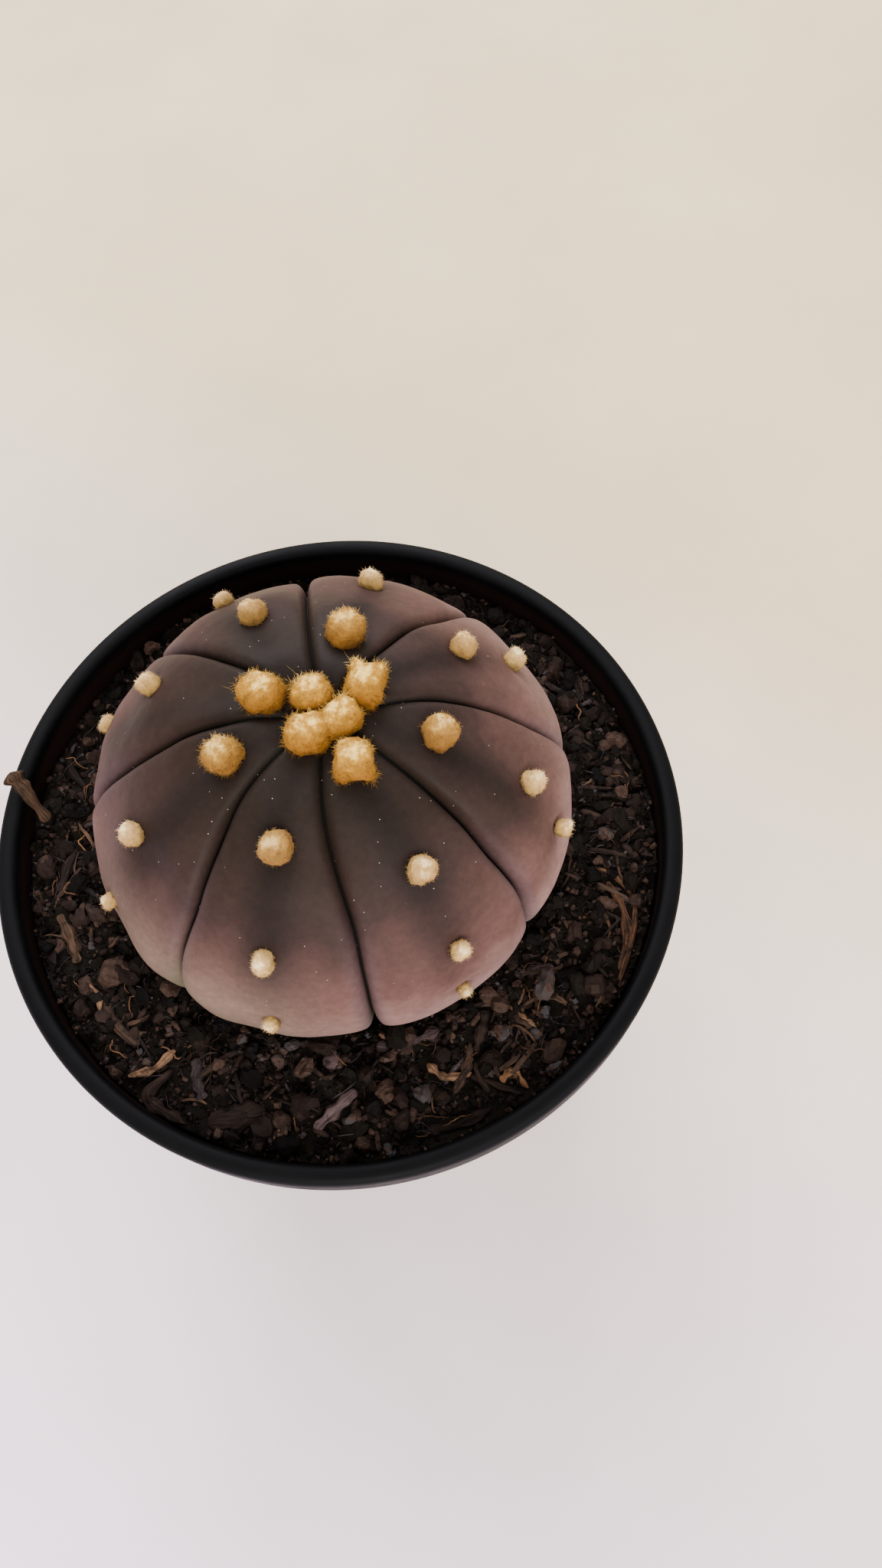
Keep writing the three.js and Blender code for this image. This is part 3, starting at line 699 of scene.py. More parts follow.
# %% Many sweeps at once
def sweep(paths, wide, thick, sides, lift=None):
    """Closed tubes along many paths, as one list of corners and quads.

    A corner lies at path point + side way * cos(turn) * wide / 2 + up way * sin(turn) * thick / 2. The
    widths are given at each step of each path, and are 0 at both ends, which closes the tube."""
    tangent = unit(np.gradient(paths, axis=1))
    level = np.array([0.0, 0.0, 1.0]) if lift is None else lift
    aside = unit(np.cross(tangent, level))
    upward = np.cross(aside, tangent)
    turn = np.arange(sides) * 2 * np.pi / sides
    cos, sin = np.cos(turn)[:, None], np.sin(turn)[:, None]
    corners = (paths[:, :, None] + aside[:, :, None] * cos * wide[:, :, None, None] / 2
               + upward[:, :, None] * sin * thick[:, :, None, None] / 2)
    count, steps = paths.shape[:2]
    quads = ring_faces(steps, sides)[None] + (np.arange(count) * steps * sides)[:, None, None]
    return corners.reshape(-1, 3), quads.reshape(-1, 4)


# A hair's steps along its length, and its width at each.
HAIR_SHARES = np.array([0.0, 0.02, 0.55, 1.0])
HAIR_WIDTHS = np.array([0.0, 1.0, 0.75, 0.0])
PLUG_ROWS, PLUG_COLUMNS = 30, 46


def cap_and_window_way(site):
    """The way that a plug is palest: its worn, bleached cap at its top, and painted light a little towards
    the window side.
    """
    # Tilted towards the window, which puts painted light on that side of each plug.
    return unit(site["axes"][2] + np.array([-0.1, 0.45, 0.3]))


def plug_hairs(site, count, longest, thickness):
    """Hairs on one plug: most stand out of it and bend, and some lie matted over it."""
    draw = np.random.default_rng(site["seed"] + 3)
    polar = np.arccos(draw.uniform(-0.55, 1, count))
    turn = draw.uniform(0, 2 * np.pi, count)
    start = plug_point(polar, turn, site)
    out_way = site["axes"][2]
    middle = site["place"] + 0.5 * site["width"] * PLUG_LIFT * out_way
    normal = unit(start - middle)
    flat = draw.uniform(0, 1, count) < 0.6
    loose = unit(draw.normal(size=(count, 3)))
    way = np.where(flat[:, None], 0.15 * normal + loose, normal + 0.2 * out_way + 0.6 * loose)
    way = unit(way)
    length = longest * draw.uniform(0.35, 1, count) * np.where(flat, 0.9, 1)
    for peak, _, spread, longer in site["peaks"]:
        length *= 1 + longer * np.exp(-(1 - normal @ (peak @ site["axes"])) / spread)
    bend = 0.35 * draw.normal(size=(count, 3))
    share = HAIR_SHARES[None, :, None]
    paths = start[:, None] + length[:, None, None] * (share * way[:, None] + share ** 2 * bend[:, None])
    widths = thickness * np.broadcast_to(HAIR_WIDTHS, (count, 4)) * draw.uniform(0.6, 1.2, (count, 1))
    points, quads = sweep(paths, widths, widths, 3, lift=out_way)
    # A hair's height number: how far it faces the worn cap and the window, as painted light, and paler tips.
    height = np.repeat(normal @ cap_and_window_way(site), 4 * 3) + np.tile(np.repeat(HAIR_SHARES, 3), count) * 0.3
    return points, quads, height


def ball_angles(rows, columns):
    """Two grids for a ball: the angle down from its top, row by row, and the way round, column by column."""
    return np.meshgrid(np.linspace(0, np.pi, rows), np.arange(columns) * 2 * np.pi / columns,
                       indexing="ij")


def wool_piece(name, chosen, hair_count, longest, thickness):
    """One mesh of several plugs and all of their hairs."""
    polar, turn = ball_angles(PLUG_ROWS, PLUG_COLUMNS)
    points, quads, height, age, total = [], [], [], [], 0
    for site in chosen:
        lump = plug_point(polar, turn, site).reshape(-1, 3)
        middle = site["place"] + 0.5 * site["width"] * PLUG_LIFT * site["axes"][2]
        # Each corner's height number: how far it faces the worn cap and the window, as painted light.
        parts = [(lump, ring_faces(PLUG_ROWS, PLUG_COLUMNS), unit(lump - middle) @ cap_and_window_way(site)),
                 plug_hairs(site, hair_count, longest, thickness)]
        for part_points, part_quads, part_height in parts:
            points.append(part_points)
            quads.append(part_quads + total)
            height.append(part_height)
            age.append(np.full(len(part_points), site["age"]))
            total += len(part_points)
    piece = new_object(name, np.concatenate(points), np.concatenate(quads))
    set_attribute(piece, "height", np.concatenate(height))
    set_attribute(piece, "age", np.concatenate(age))
    close_poles(piece)
    print(name, len(piece.data.polygons), "faces")
    return piece


# Hairs on each plug, their greatest length and their thickness.
young_wool = wool_piece("areole_wool_crown", [p for p in plugs if p["young"]], 1300, 0.6, 0.04)
old_wool = wool_piece("areole_wool_flanks", [p for p in plugs if not p["young"]], 520, 0.42, 0.035)

# %% [markdown]
# The wool is cellulose hair that scatters light through itself, so it has a faint pale sheen and some light
# passes under its surface. Young wool is golden, and its worn cap is paler. Each plug is also painted darker
# on its sides and underside as shade, and paler on its top and window side as light. The wool of the next
# tufts is duller with dust, and the oldest is bleached to cream. The locks are 0.9 mm wide.

# %% Wool material: matted plant hair
wool = new_material("areole_wool_felted", {
    "Roughness": 0.92, "IOR": 1.5, "Specular IOR Level": 0.04,
    "Sheen Weight": 0.02, "Sheen Roughness": 0.5, "Sheen Tint": colour("ffe6c0"),
    "Subsurface Weight": 0.12, "Subsurface Radius": (1.0, 0.6, 0.3), "Subsurface Scale": 0.7 * MM})
where = add(wool, "ShaderNodeTexCoord").outputs["Object"]
height = add(wool, "ShaderNodeAttribute", attribute_name="height").outputs["Fac"]
age = add(wool, "ShaderNodeAttribute", attribute_name="age").outputs["Fac"]
locks = add(wool, "ShaderNodeTexNoise", {"Scale": 1 / (0.9 * MM), "Detail": 5.0, "Roughness": 0.6},
            {"Vector": where}).outputs["Fac"]
patchy = add(wool, "ShaderNodeMath", {1: 1.5, 2: -0.75}, {0: locks}, operation="MULTIPLY_ADD").outputs[0]
level = add(wool, "ShaderNodeMath", None, {0: height, 1: patchy}, operation="ADD").outputs[0]
level = add(wool, "ShaderNodeMapRange", {"From Min": -0.6, "From Max": 1.1},
            {"Value": level}).outputs["Result"]
# From dark to pale: painted shade on a plug's sides and underside, up to its worn cap and painted light on
# its top and window side.
golden = add(wool, "ShaderNodeValToRGB", None, {"Fac": level}, [
    (0.0, "55340c"), (0.3, "764c16"), (0.64, "885d1e"), (0.84, "a97b2a"), (1.0, "e7c16b")]).outputs["Color"]
bleached = add(wool, "ShaderNodeValToRGB", None, {"Fac": level}, [
    (0.0, "69522f"), (0.28, "957743"), (0.6, "a98754"), (0.84, "bf9c67"), (1.0, "ecd2a2")]).outputs["Color"]
tone = add(wool, "ShaderNodeMix", None, {0: age, 6: golden, 7: bleached}, data_type="RGBA").outputs[2]
dust = add(wool, "ShaderNodeValToRGB", None, {"Fac": age}, [
    (0.0, "ffffff"), (0.3, "cecac6"), (0.75, "f2f2f2"), (1.0, "ffffff")]).outputs["Color"]
tone = add(wool, "ShaderNodeVectorMath", None, {0: tone, 1: dust}, operation="MULTIPLY").outputs[0]
feed(wool, "Base Color", tone)
relief = add(wool, "ShaderNodeBump", {"Strength": 0.5, "Distance": 0.12 * MM}, {"Height": locks})
feed(wool, "Normal", relief.outputs["Normal"])
for piece in (young_wool, old_wool):
    piece.data.materials.append(wool)

# %% [markdown]
# ## The soil
# The compost is peat with composted bark: near black, coarse and full of torn wood. The CAD solid gives
# its level, its edges and the hole for the plant. Rays cast down on that solid give a height map, which is
# blurred, and the fine surface adds its own clods to it.

# %% Level of the soil
from mathutils.bvhtree import BVHTree

MAP_REACH = 43  # half the width of the height map, which has a point for each millimetre
LOOK_FROM = 0.2  # the height in metres that the rays start from
soil_low, soil_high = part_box("soil")


def tree_of(node):
    """A search tree of a CAD node's triangles."""
    mesh = frame["nodes"][node].data
    corners = [corner.co for corner in mesh.vertices]
    return BVHTree.FromPolygons(corners, [list(face.vertices) for face in mesh.polygons])


def top_of(tree, x, y, missing):
    """The height of a CAD node straight below a spot, in millimetres."""
    hit = tree.ray_cast((x * MM, y * MM, LOOK_FROM), (0, 0, -1))[0]
    return missing if hit is None else hit.z / MM


soil_tree = tree_of("soil")
span = np.arange(-MAP_REACH, MAP_REACH + 1)
height_map = np.array([[top_of(soil_tree, x, y, 0) for y in span] for x in span])
usual_level = float(np.median(height_map[height_map > 0.9 * soil_high.z / MM]))
height_map = np.where(np.abs(height_map - usual_level) < 3, height_map, usual_level)
for _ in range(3):
    height_map = sum(np.roll(height_map, shift, axis) for axis in (0, 1) for shift in (-1, 0, 1)) / 6
print("soil level:", round(usual_level, 2), "mm")

# %% [markdown]
# Loose pieces of wood lie on the soil. Their paths repeat the CAD's points, and their heights come from
# the CAD nodes. The soil is levelled under them, so that none is buried and none floats.

# %% Loose wood: sizes and paths
# Node: finish, width, thickness, and the points that it follows.
SHREDS = {
    "twig_left_far": ("brown", 1.1, 0.9, [(-38.6, 16.4), (-37.4, 12.6), (-35.0, 9.2)]),
    "twig_left_upper": ("brown", 1.2, 1.0, [(-36.2, 1.0), (-37.2, -2.2), (-37.8, -5.4)]),
    "twig_left_lower": ("tan", 1.4, 1.0, [(-37.6, -8.4), (-36.0, -11.6), (-34.8, -15.0)]),
    "twig_bent": ("brown", 1.2, 0.9, [(-22.0, -29.4), (-25.0, -32.2), (-23.2, -34.4), (-20.2, -36.2)]),
    "sliver_grey": ("grey", 1.7, 0.8, [(-19.0, -28.2), (-18.8, -31.2), (-18.0, -33.4)]),
    "bark_strip_dark": ("dark", 2.3, 1.0, [(-17.4, -36.2), (-13.8, -36.0), (-10.2, -35.0)]),
    "sliver_middle": ("pink", 1.5, 1.0, [(-4.4, -38.0), (-1.6, -35.6), (1.0, -33.4)]),
    "twig_right_dark": ("dark", 1.1, 1.0, [(17.6, -24.4), (16.8, -27.2), (16.0, -29.6)]),
    "fibre_tan": ("tan", 1.0, 0.8, [(9.8, -30.6), (11.9, -32.4), (15.4, -32.2)]),
    "fibre_arched": ("orange", 1.0, 0.8, [(18.8, -33.4), (20.4, -32.4), (22.2, -34.4)]),
    "sliver_ochre": ("brown", 1.3, 0.8, [(9.6, -38.8), (13.6, -38.2), (17.4, -36.6)]),
    "sliver_pink": ("pink", 1.4, 0.8, [(21.6, -20.2), (24.2, -19.8), (26.8, -19.6)]),
    "fibre_right": ("orange", 1.1, 0.8, [(34.8, -8.4), (36.4, -12.4), (36.6, -16.4), (35.0, -20.4)]),
}
RIM_CHIP = ("tan", 2.2, 1.0, [(-39.6, 4.6, 65.9), (-41.0, 6.5, 69.7), (-42.2, 8.0, 71.3), (-43.0, 9.0, 72.6)])


def curve_through(points, steps):
    """A Catmull-Rom curve: each stretch is a cubic that leaves and meets its points along their chords."""
    spots = np.asarray(points, float)
    spots = np.vstack([2 * spots[0] - spots[1], spots, 2 * spots[-1] - spots[-2]])
    along = np.linspace(0, len(points) - 1, steps)
    first = np.minimum(along.astype(int), len(points) - 2)
    t = (along - first)[:, None]
    a, b, c, d = (spots[first + k] for k in range(4))
    return 0.5 * (2 * b + (c - a) * t
                  + (2 * a - 5 * b + 4 * c - d) * t ** 2 + (3 * b - a - 3 * c + d) * t ** 3)


shred_paths = {}
for node, (_, _, thickness, points) in SHREDS.items():
    tree = tree_of(node)
    flat_path = curve_through(points, 25)
    heights = np.array([top_of(tree, x, y, np.nan) for x, y in flat_path])
    heights = np.where(np.isnan(heights), np.nanmean(heights), heights) - thickness / 2
    shred_paths[node] = np.column_stack([flat_path, heights])
bedded = np.concatenate(list(shred_paths.values()))


def soil_height(x, y):
    """The soil's height: the blurred map read between its points, with clods, and levelled under the wood."""
    i, j = np.clip(x + MAP_REACH, 0, 2 * MAP_REACH - 1.001), np.clip(y + MAP_REACH, 0, 2 * MAP_REACH - 1.001)
    a, b = i.astype(int), j.astype(int)
    u, v = i - a, j - b
    level = ((1 - u) * (1 - v) * height_map[a, b] + u * (1 - v) * height_map[a + 1, b]
             + (1 - u) * v * height_map[a, b + 1] + u * v * height_map[a + 1, b + 1])
    spots = np.stack([x, y, 0 * x], -1)
    level = level + 0.32 * field(spots, 3.4, 31) + 0.16 * field(spots, 1.3, 32)
    gap = (x[..., None] - bedded[:, 0]) ** 2 + (y[..., None] - bedded[:, 1]) ** 2
    nearest = gap.argmin(-1)
    press = np.exp(-np.take_along_axis(gap, nearest[..., None], -1)[..., 0] / 1.6 ** 2)
    return level + press * (bedded[nearest, 2] - 0.3 - level)


# %% [markdown]
# The soil's mesh is a set of rings. They come up the wall of the hole that the plant stands in, with a
# little clearance, spread out over the surface to the pot's lip, and go down inside the pot's wall.

# %% The soil bed
CLEARANCE = 0.35
SOIL_SIDES = 360
SOIL_STEPS = 46
soil_edge = LIP_INNER - CLEARANCE
soil_turn = np.arange(SOIL_SIDES) * 2 * np.pi / SOIL_SIDES
ways = np.stack([np.cos(soil_turn), np.sin(soil_turn)], -1)
first_row = int(np.argmax(rows[:, 1] < usual_level))


def body_radius(row, turns):
    """How far the plant's skin is from the plant's axis, in one of its rows, at some azimuths."""
    offsets = body_points[row, :, :2] - BODY_CENTRE[:2]
    azimuths = np.arctan2(offsets[:, 1], offsets[:, 0])
    sort = np.argsort(azimuths)
    return np.interp(turns, azimuths[sort], np.hypot(offsets[sort, 0], offsets[sort, 1]), period=2 * np.pi)


hole_rings = []
for row in range(len(rows) - 1, first_row - 1, -1):
    radius = np.maximum(body_radius(row, soil_turn) + out[row, 0] * CLEARANCE, 0)
    ring_height = np.full(SOIL_SIDES, rows[row, 1] + out[row, 1] * CLEARANCE)
    hole_rings.append(np.column_stack([BODY_CENTRE[:2] + radius[:, None] * ways, ring_height]))
inner = hole_rings[-1][:, :2]
outer = soil_edge * ways
top_rings = []
for share in np.linspace(0, 1, SOIL_STEPS)[1:]:
    flat = (1 - share) * inner + share * outer
    ring_height = soil_height(flat[:, 0], flat[:, 1])
    top_rings.append(np.column_stack([flat, ring_height]))
soil_bottom = soil_low.z / MM
bottom_radius = wall_radius(soil_bottom) - WALL - 1 - CLEARANCE
bottom_rings = [np.column_stack([radius * ways, np.full(SOIL_SIDES, soil_bottom)])
                for radius in (bottom_radius, 0)]
soil_points = np.concatenate(hole_rings + top_rings + bottom_rings)
soil = new_object("soil_bed", soil_points, ring_faces(len(soil_points) // SOIL_SIDES, SOIL_SIDES))
set_attribute(soil, "tone", 0.3 + 0 * soil_points[:, 0])
close_poles(soil)
print("soil:", len(soil.data.polygons), "faces")

# %% [markdown]
# Crumbs make the surface. Each is a small ball of few faces, stretched, turned and dented at random, and
# partly sunk in the soil. The coarse ones are torn bark and clods, and the fine ones fill the gaps. Each
# carries a random tone, so no two neighbours have the same colour.

# %% Crumbs
def ball(cuts):
    """A cube of cut squares, blown up to a ball: its corners and its quads."""
    mesh = bmesh.new()
    bmesh.ops.create_cube(mesh, size=2)
    if cuts:
        bmesh.ops.subdivide_edges(mesh, edges=mesh.edges[:], cuts=cuts, use_grid_fill=True)
    points = unit(np.array([corner.co for corner in mesh.verts]))
    quads = np.array([[corner.index for corner in face.verts] for face in mesh.faces])
    mesh.free()
    return points, quads


def turned(draw, count):
    """Random rotations, from random quaternions."""
    w, x, y, z = unit(draw.normal(size=(count, 4))).T
    return np.stack([
        1 - 2 * (y * y + z * z), 2 * (x * y - w * z), 2 * (x * z + w * y),
        2 * (x * y + w * z), 1 - 2 * (x * x + z * z), 2 * (y * z - w * x),
        2 * (x * z - w * y), 2 * (y * z + w * x), 1 - 2 * (x * x + y * y)], -1).reshape(-1, 3, 3)


def open_soil(draw, count, margin):
    """Random spots between the plant and the lip, at least a margin from both."""
    spots = draw.uniform(-soil_edge, soil_edge, (count * 4, 2))
    offsets = spots - BODY_CENTRE[:2]
    gap = (np.hypot(offsets[:, 0], offsets[:, 1])
           - body_radius(first_row, np.arctan2(offsets[:, 1], offsets[:, 0])))
    margins = np.resize(margin, len(spots))
    fits = (gap > margins) & (LIP_INNER - np.hypot(spots[:, 0], spots[:, 1]) > margins)
    return spots[fits][:count], margins[fits][:count]


def crumb_piece(name, count, sizes, bunch, flatness, detail, seed):
    """Many dented balls in one mesh. A size is low + (high - low) * share^bunch."""
    draw = np.random.default_rng(seed)
    size = sizes[0] + (sizes[1] - sizes[0]) * draw.uniform(0, 1, count * 4) ** bunch
    spots, margins = open_soil(draw, count, 0.5 * size)
    gap = np.sqrt(((spots[:, None] - bedded[None, :, :2]) ** 2).sum(-1)).min(1)
    clear = gap > 0.55 + 0.8 * margins
    spots, size = spots[clear], 2 * margins[clear]
    points, quads = detail
    stretch = size[:, None] / 2 * draw.uniform([0.7, 0.6, flatness], [1.1, 0.95, flatness * 1.8],
                                               (len(size), 3))
    shift = draw.uniform(-50, 50, (len(size), 1, 3))
    dent = (1 + 0.2 * field(points[None] + shift, 1.7, seed)
            + 0.07 * field(points[None] + shift, 0.6, seed + 1))
    lumps = (points[None] * dent[..., None] * stretch[:, None]) @ turned(draw, len(size))
    heights = soil_height(spots[:, 0], spots[:, 1]) + size * draw.uniform(0.0, 0.3, len(size))
    lumps += np.column_stack([spots, heights])[:, None]
    faces = quads[None] + (np.arange(len(size)) * len(points))[:, None, None]
    piece = new_object(name, lumps.reshape(-1, 3), faces.reshape(-1, 4), smooth=False)
    set_attribute(piece, "tone", np.repeat(draw.uniform(0, 1, len(size)), len(points)))
    close_poles(piece)
    print(name, len(size), "crumbs,", len(piece.data.polygons), "faces")
    return piece


# Name, number, sizes, how strongly the sizes bunch at the small end, flatness, faces and seed.
coarse = crumb_piece("soil_clods", 900, (1.0, 3.6), 2.2, 0.6, ball(2), 41)
fine = crumb_piece("soil_crumbs", 8000, (0.4, 1.3), 1.5, 0.5, ball(0), 42)
chips = crumb_piece("bark_flakes", 200, (1.0, 2.8), 1.8, 0.2, ball(1), 43)

# %% [markdown]
# Peat is fibrous, matt and nearly black while it is damp. Composted bark in it is red-brown, and a few
# crumbs are grit or charcoal with a dull blue-grey shine. Each crumb's tone picks its place on a ramp, and
# a fine noise of 0.5 mm roughens every face.

# %% Soil material: damp peat and composted bark
peat = new_material("peat_and_bark_damp", {"IOR": 1.4, "Specular IOR Level": 0.1})
where = add(peat, "ShaderNodeTexCoord").outputs["Object"]
pick = add(peat, "ShaderNodeAttribute", attribute_name="tone").outputs["Fac"]
grit = add(peat, "ShaderNodeTexNoise", {"Scale": 1 / (0.8 * MM), "Detail": 6.0, "Roughness": 0.7},
           {"Vector": where}).outputs["Fac"]
patches = add(peat, "ShaderNodeTexNoise", {"Scale": 1 / (6 * MM), "Detail": 3.0},
              {"Vector": where}).outputs["Fac"]
blend = add(peat, "ShaderNodeMath", {1: 0.5, 2: -0.25}, {0: grit}, operation="MULTIPLY_ADD").outputs[0]
blend = add(peat, "ShaderNodeMath", None, {0: pick, 1: blend}, operation="ADD").outputs[0]
tone = add(peat, "ShaderNodeValToRGB", None, {"Fac": blend}, [
    (0.0, "060404"), (0.35, "0f0b06"), (0.6, "18100d"), (0.82, "271c17"), (0.94, "3d2d25"), (1.0, "323133")])
wet = add(peat, "ShaderNodeMapRange", {"From Min": 0.35, "From Max": 0.7, "To Min": 0.62, "To Max": 0.95},
          {"Value": patches})
feed(peat, "Base Color", tone.outputs["Color"])
feed(peat, "Roughness", wet.outputs["Result"])
relief = add(peat, "ShaderNodeBump", {"Strength": 0.9, "Distance": 0.25 * MM}, {"Height": grit})
feed(peat, "Normal", relief.outputs["Normal"])
for piece in (soil, coarse, fine):
    piece.data.materials.append(peat)

# %% [markdown]
# ## Wood in the soil
# Torn bark and roots lie all over the soil. Splinters are sweeps with a ribbed section and ragged ends,
# and fibres are thin sweeps that curl. Every one follows the soil's own height, so it rests on it.

# %% Splinters and fibres
def splinter(path, width, thickness, seed, steps=72, sides=20):
    """One torn splinter along a path: a flat oval section, ribbed along its length, that ends in points."""
    path = curve_through(path, steps)[None]
    share = np.linspace(0, 1, steps)
    ragged = 1 + 0.22 * field(share[:, None] * np.array([12.0, 0, 0]), 3.0, seed)
    taper = np.sqrt(np.clip(1 - np.abs(2 * share - 1) ** 5, 0, 1)) * ragged
    points, quads = sweep(path, width * taper[None], thickness * taper[None], sides)
    turn = np.tile(np.arange(sides) * 2 * np.pi / sides, steps)
    step = np.repeat(np.arange(steps), sides)
    section = np.column_stack([2.2 * np.cos(turn), 2.2 * np.sin(turn), share[step] * 3])
    ribs = 1 + 0.13 * field(section, 1.6, seed + 1) + 0.05 * field(3 * section, 1.6, seed + 2)
    points = path[0, step] + (points - path[0, step]) * ribs[:, None]
    travelled = np.concatenate([[0], np.cumsum(np.linalg.norm(np.diff(path[0], axis=0), axis=1))])
    return points, quads, travelled[step], turn * width / 2


def wander(draw, count, lengths, sway, steps, rise):
    """Random paths that lie on the soil. Their heading sways, and they rise a little along the middle."""
    starts, _ = open_soil(draw, count * 3, 1.2)
    number = len(starts)
    length = lengths[0] + (lengths[1] - lengths[0]) * draw.uniform(0, 1, number) ** 1.7
    share = np.linspace(0, 1, steps)
    heading = draw.uniform(0, 2 * np.pi, (number, 1)) + sway * np.cumsum(draw.normal(size=(number, steps)), 1)
    stride = (length / steps)[:, None, None]
    flat = starts[:, None] + stride * np.cumsum(np.stack([np.cos(heading), np.sin(heading)], -1), 1)
    offsets = flat - BODY_CENTRE[:2]
    azimuth = np.arctan2(offsets[..., 1], offsets[..., 0])
    clear = (np.hypot(offsets[..., 0], offsets[..., 1]) > body_radius(first_row, azimuth) + 0.6).all(1)
    clear &= (np.hypot(flat[..., 0], flat[..., 1]) < LIP_INNER - 0.7).all(1)
    flat, number = flat[clear][:count], min(count, int(clear.sum()))
    lift = draw.uniform(*rise, (number, 1)) * np.sin(np.pi * share) + draw.uniform(0.15, 0.4, (number, 1))
    height = soil_height(flat[..., 0], flat[..., 1])
    height = height.mean(1, keepdims=True) * 0.6 + height * 0.4
    return np.concatenate([flat, (height + lift)[..., None]], -1)


def litter_piece(name, count, lengths, widths, flatness, sway, steps, sides, rise, seed):
    """Many small splinters or fibres in one mesh."""
    draw = np.random.default_rng(seed)
    paths = wander(draw, count, lengths, sway, steps, rise)
    share = np.linspace(0, 1, steps)
    taper = np.clip(1 - np.abs(2 * share - 1) ** 4, 0, 1) ** 0.5
    wide = draw.uniform(*widths, (len(paths), 1)) * taper * draw.uniform(0.8, 1.2, (len(paths), steps))
    points, quads = sweep(paths, wide, wide * flatness, sides)
    piece = new_object(name, points, quads)
    around = np.tile(np.arange(sides) / sides, len(paths) * steps) * np.repeat(wide, sides) * 3
    set_attribute(piece, "along", np.tile(np.repeat(share, sides), len(paths)) * np.mean(lengths))
    set_attribute(piece, "around", around)
    set_attribute(piece, "tone", np.repeat(draw.uniform(0, 1, len(paths)), steps * sides))
    close_poles(piece)
    print(name, len(paths), "bits,", len(piece.data.polygons), "faces")
    return piece


# Name: finish, number, lengths, widths, flatness, sway of the heading, steps, sides, rise and seed.
LITTER = {
    "bark_splinters_brown": ("brown", 150, (2.5, 8.5), (0.3, 0.95), 0.5, 0.12, 10, 7, (0, 0.5), 51),
    "wood_splinters_tan": ("tan", 26, (2.5, 7.5), (0.25, 0.7), 0.5, 0.16, 10, 7, (0, 0.7), 52),
    "wood_splinters_grey": ("grey", 26, (2.0, 6.5), (0.25, 0.7), 0.5, 0.12, 10, 7, (0, 0.6), 53),
    "root_fibres": ("orange", 60, (3.0, 9.0), (0.1, 0.24), 1.0, 0.42, 14, 5, (0.2, 1.4), 54),
    "root_hairs": ("grey", 420, (1.5, 6.0), (0.04, 0.11), 1.0, 0.3, 10, 4, (0.1, 1.0), 55),
}
# Every piece of wood, with its finish and the CAD node that it stands for.
wooden = [(chips, "dark", None)]
for name, (finish, *traits) in LITTER.items():
    wooden.append((litter_piece(name, *traits), finish, None))

# %% [markdown]
# Each larger piece replaces its CAD node and keeps its path, its width and its thickness. Ten slighter ones
# are not in the CAD, and lie on the soil in the same way.

# %% Larger pieces of wood
# Slighter pieces: finish, width, and the points that each follows.
SLIGHT_SHREDS = {
    "fibre_grey_left": ("grey", 0.7, [(-36.3, -3.9), (-34.0, -5.2), (-31.4, -7.4)]),
    "bark_sliver_at_plant": ("pink", 1.5, [(3.6, -28.2), (7.6, -28.0), (11.6, -26.6)]),
    "fibre_ochre_loop": ("tan", 0.7, [(21.7, -25.8), (23.0, -23.8), (26.3, -23.3), (28.2, -24.6)]),
    "fibre_orange_loop": ("orange", 0.8, [
        (32.6, -6.5), (35.4, -7.4), (38.0, -11.4), (36.9, -17.0), (34.6, -22.6)]),
    "root_curl_right": ("orange", 0.55, [
        (31.0, -13.4), (33.2, -12.6), (34.4, -14.8), (33.4, -17.4), (31.4, -18.2)]),
    "root_curl_low": ("tan", 0.5, [(29.0, -20.6), (31.2, -21.0), (32.6, -23.2), (31.4, -25.0)]),
    "stick_dark_front": ("brown", 0.9, [(13.0, -34.6), (14.6, -31.6), (15.4, -28.4)]),
    "stick_brown_left": ("brown", 1.1, [(-30.6, -20.6), (-29.0, -23.8), (-26.4, -26.2)]),
    "fibre_tan_left": ("tan", 0.6, [(-33.6, -17.6), (-31.6, -19.8), (-31.4, -22.6)]),
    "sliver_tan_front": ("tan", 0.8, [(-27.6, -30.0), (-24.4, -29.2), (-21.6, -27.0)]),
}


def shred_piece(name, path, width, thickness, seed):
    """One larger piece of wood as an object, with the numbers that its material reads."""
    points, quads, along, around = splinter(path, width, thickness, seed)
    piece = new_object(name, points, quads)
    set_attribute(piece, "along", along)
    set_attribute(piece, "around", around)
    set_attribute(piece, "tone", np.full(len(points), (seed * 0.37) % 1))
    return close_poles(piece)


for number, (node, path) in enumerate(shred_paths.items()):
    finish, width, thickness, _ = SHREDS[node]
    wooden.append((shred_piece(node + "_torn", path[::3], width, thickness, 200 + 3 * number), finish, node))
finish, width, thickness, points = RIM_CHIP
path = np.array(points) + (0, 0, thickness / 2)
wooden.append((shred_piece("bark_chip_on_rim_torn", path, width, thickness, 260), finish, "bark_chip_on_rim"))
for number, (name, (finish, width, points)) in enumerate(SLIGHT_SHREDS.items()):
    flat_path = curve_through(points, 9)
    heights = soil_height(flat_path[:, 0], flat_path[:, 1]) + 0.35 * width + 0.12
    path = np.column_stack([flat_path, 0.5 * heights + 0.5 * heights.mean()])
    wooden.append((shred_piece(name, path, width, 0.6 * width, 300 + 3 * number), finish, None))

# %% [markdown]
# The oval chip is a scrap of bark that has been rolled smooth. It keeps the CAD's box.

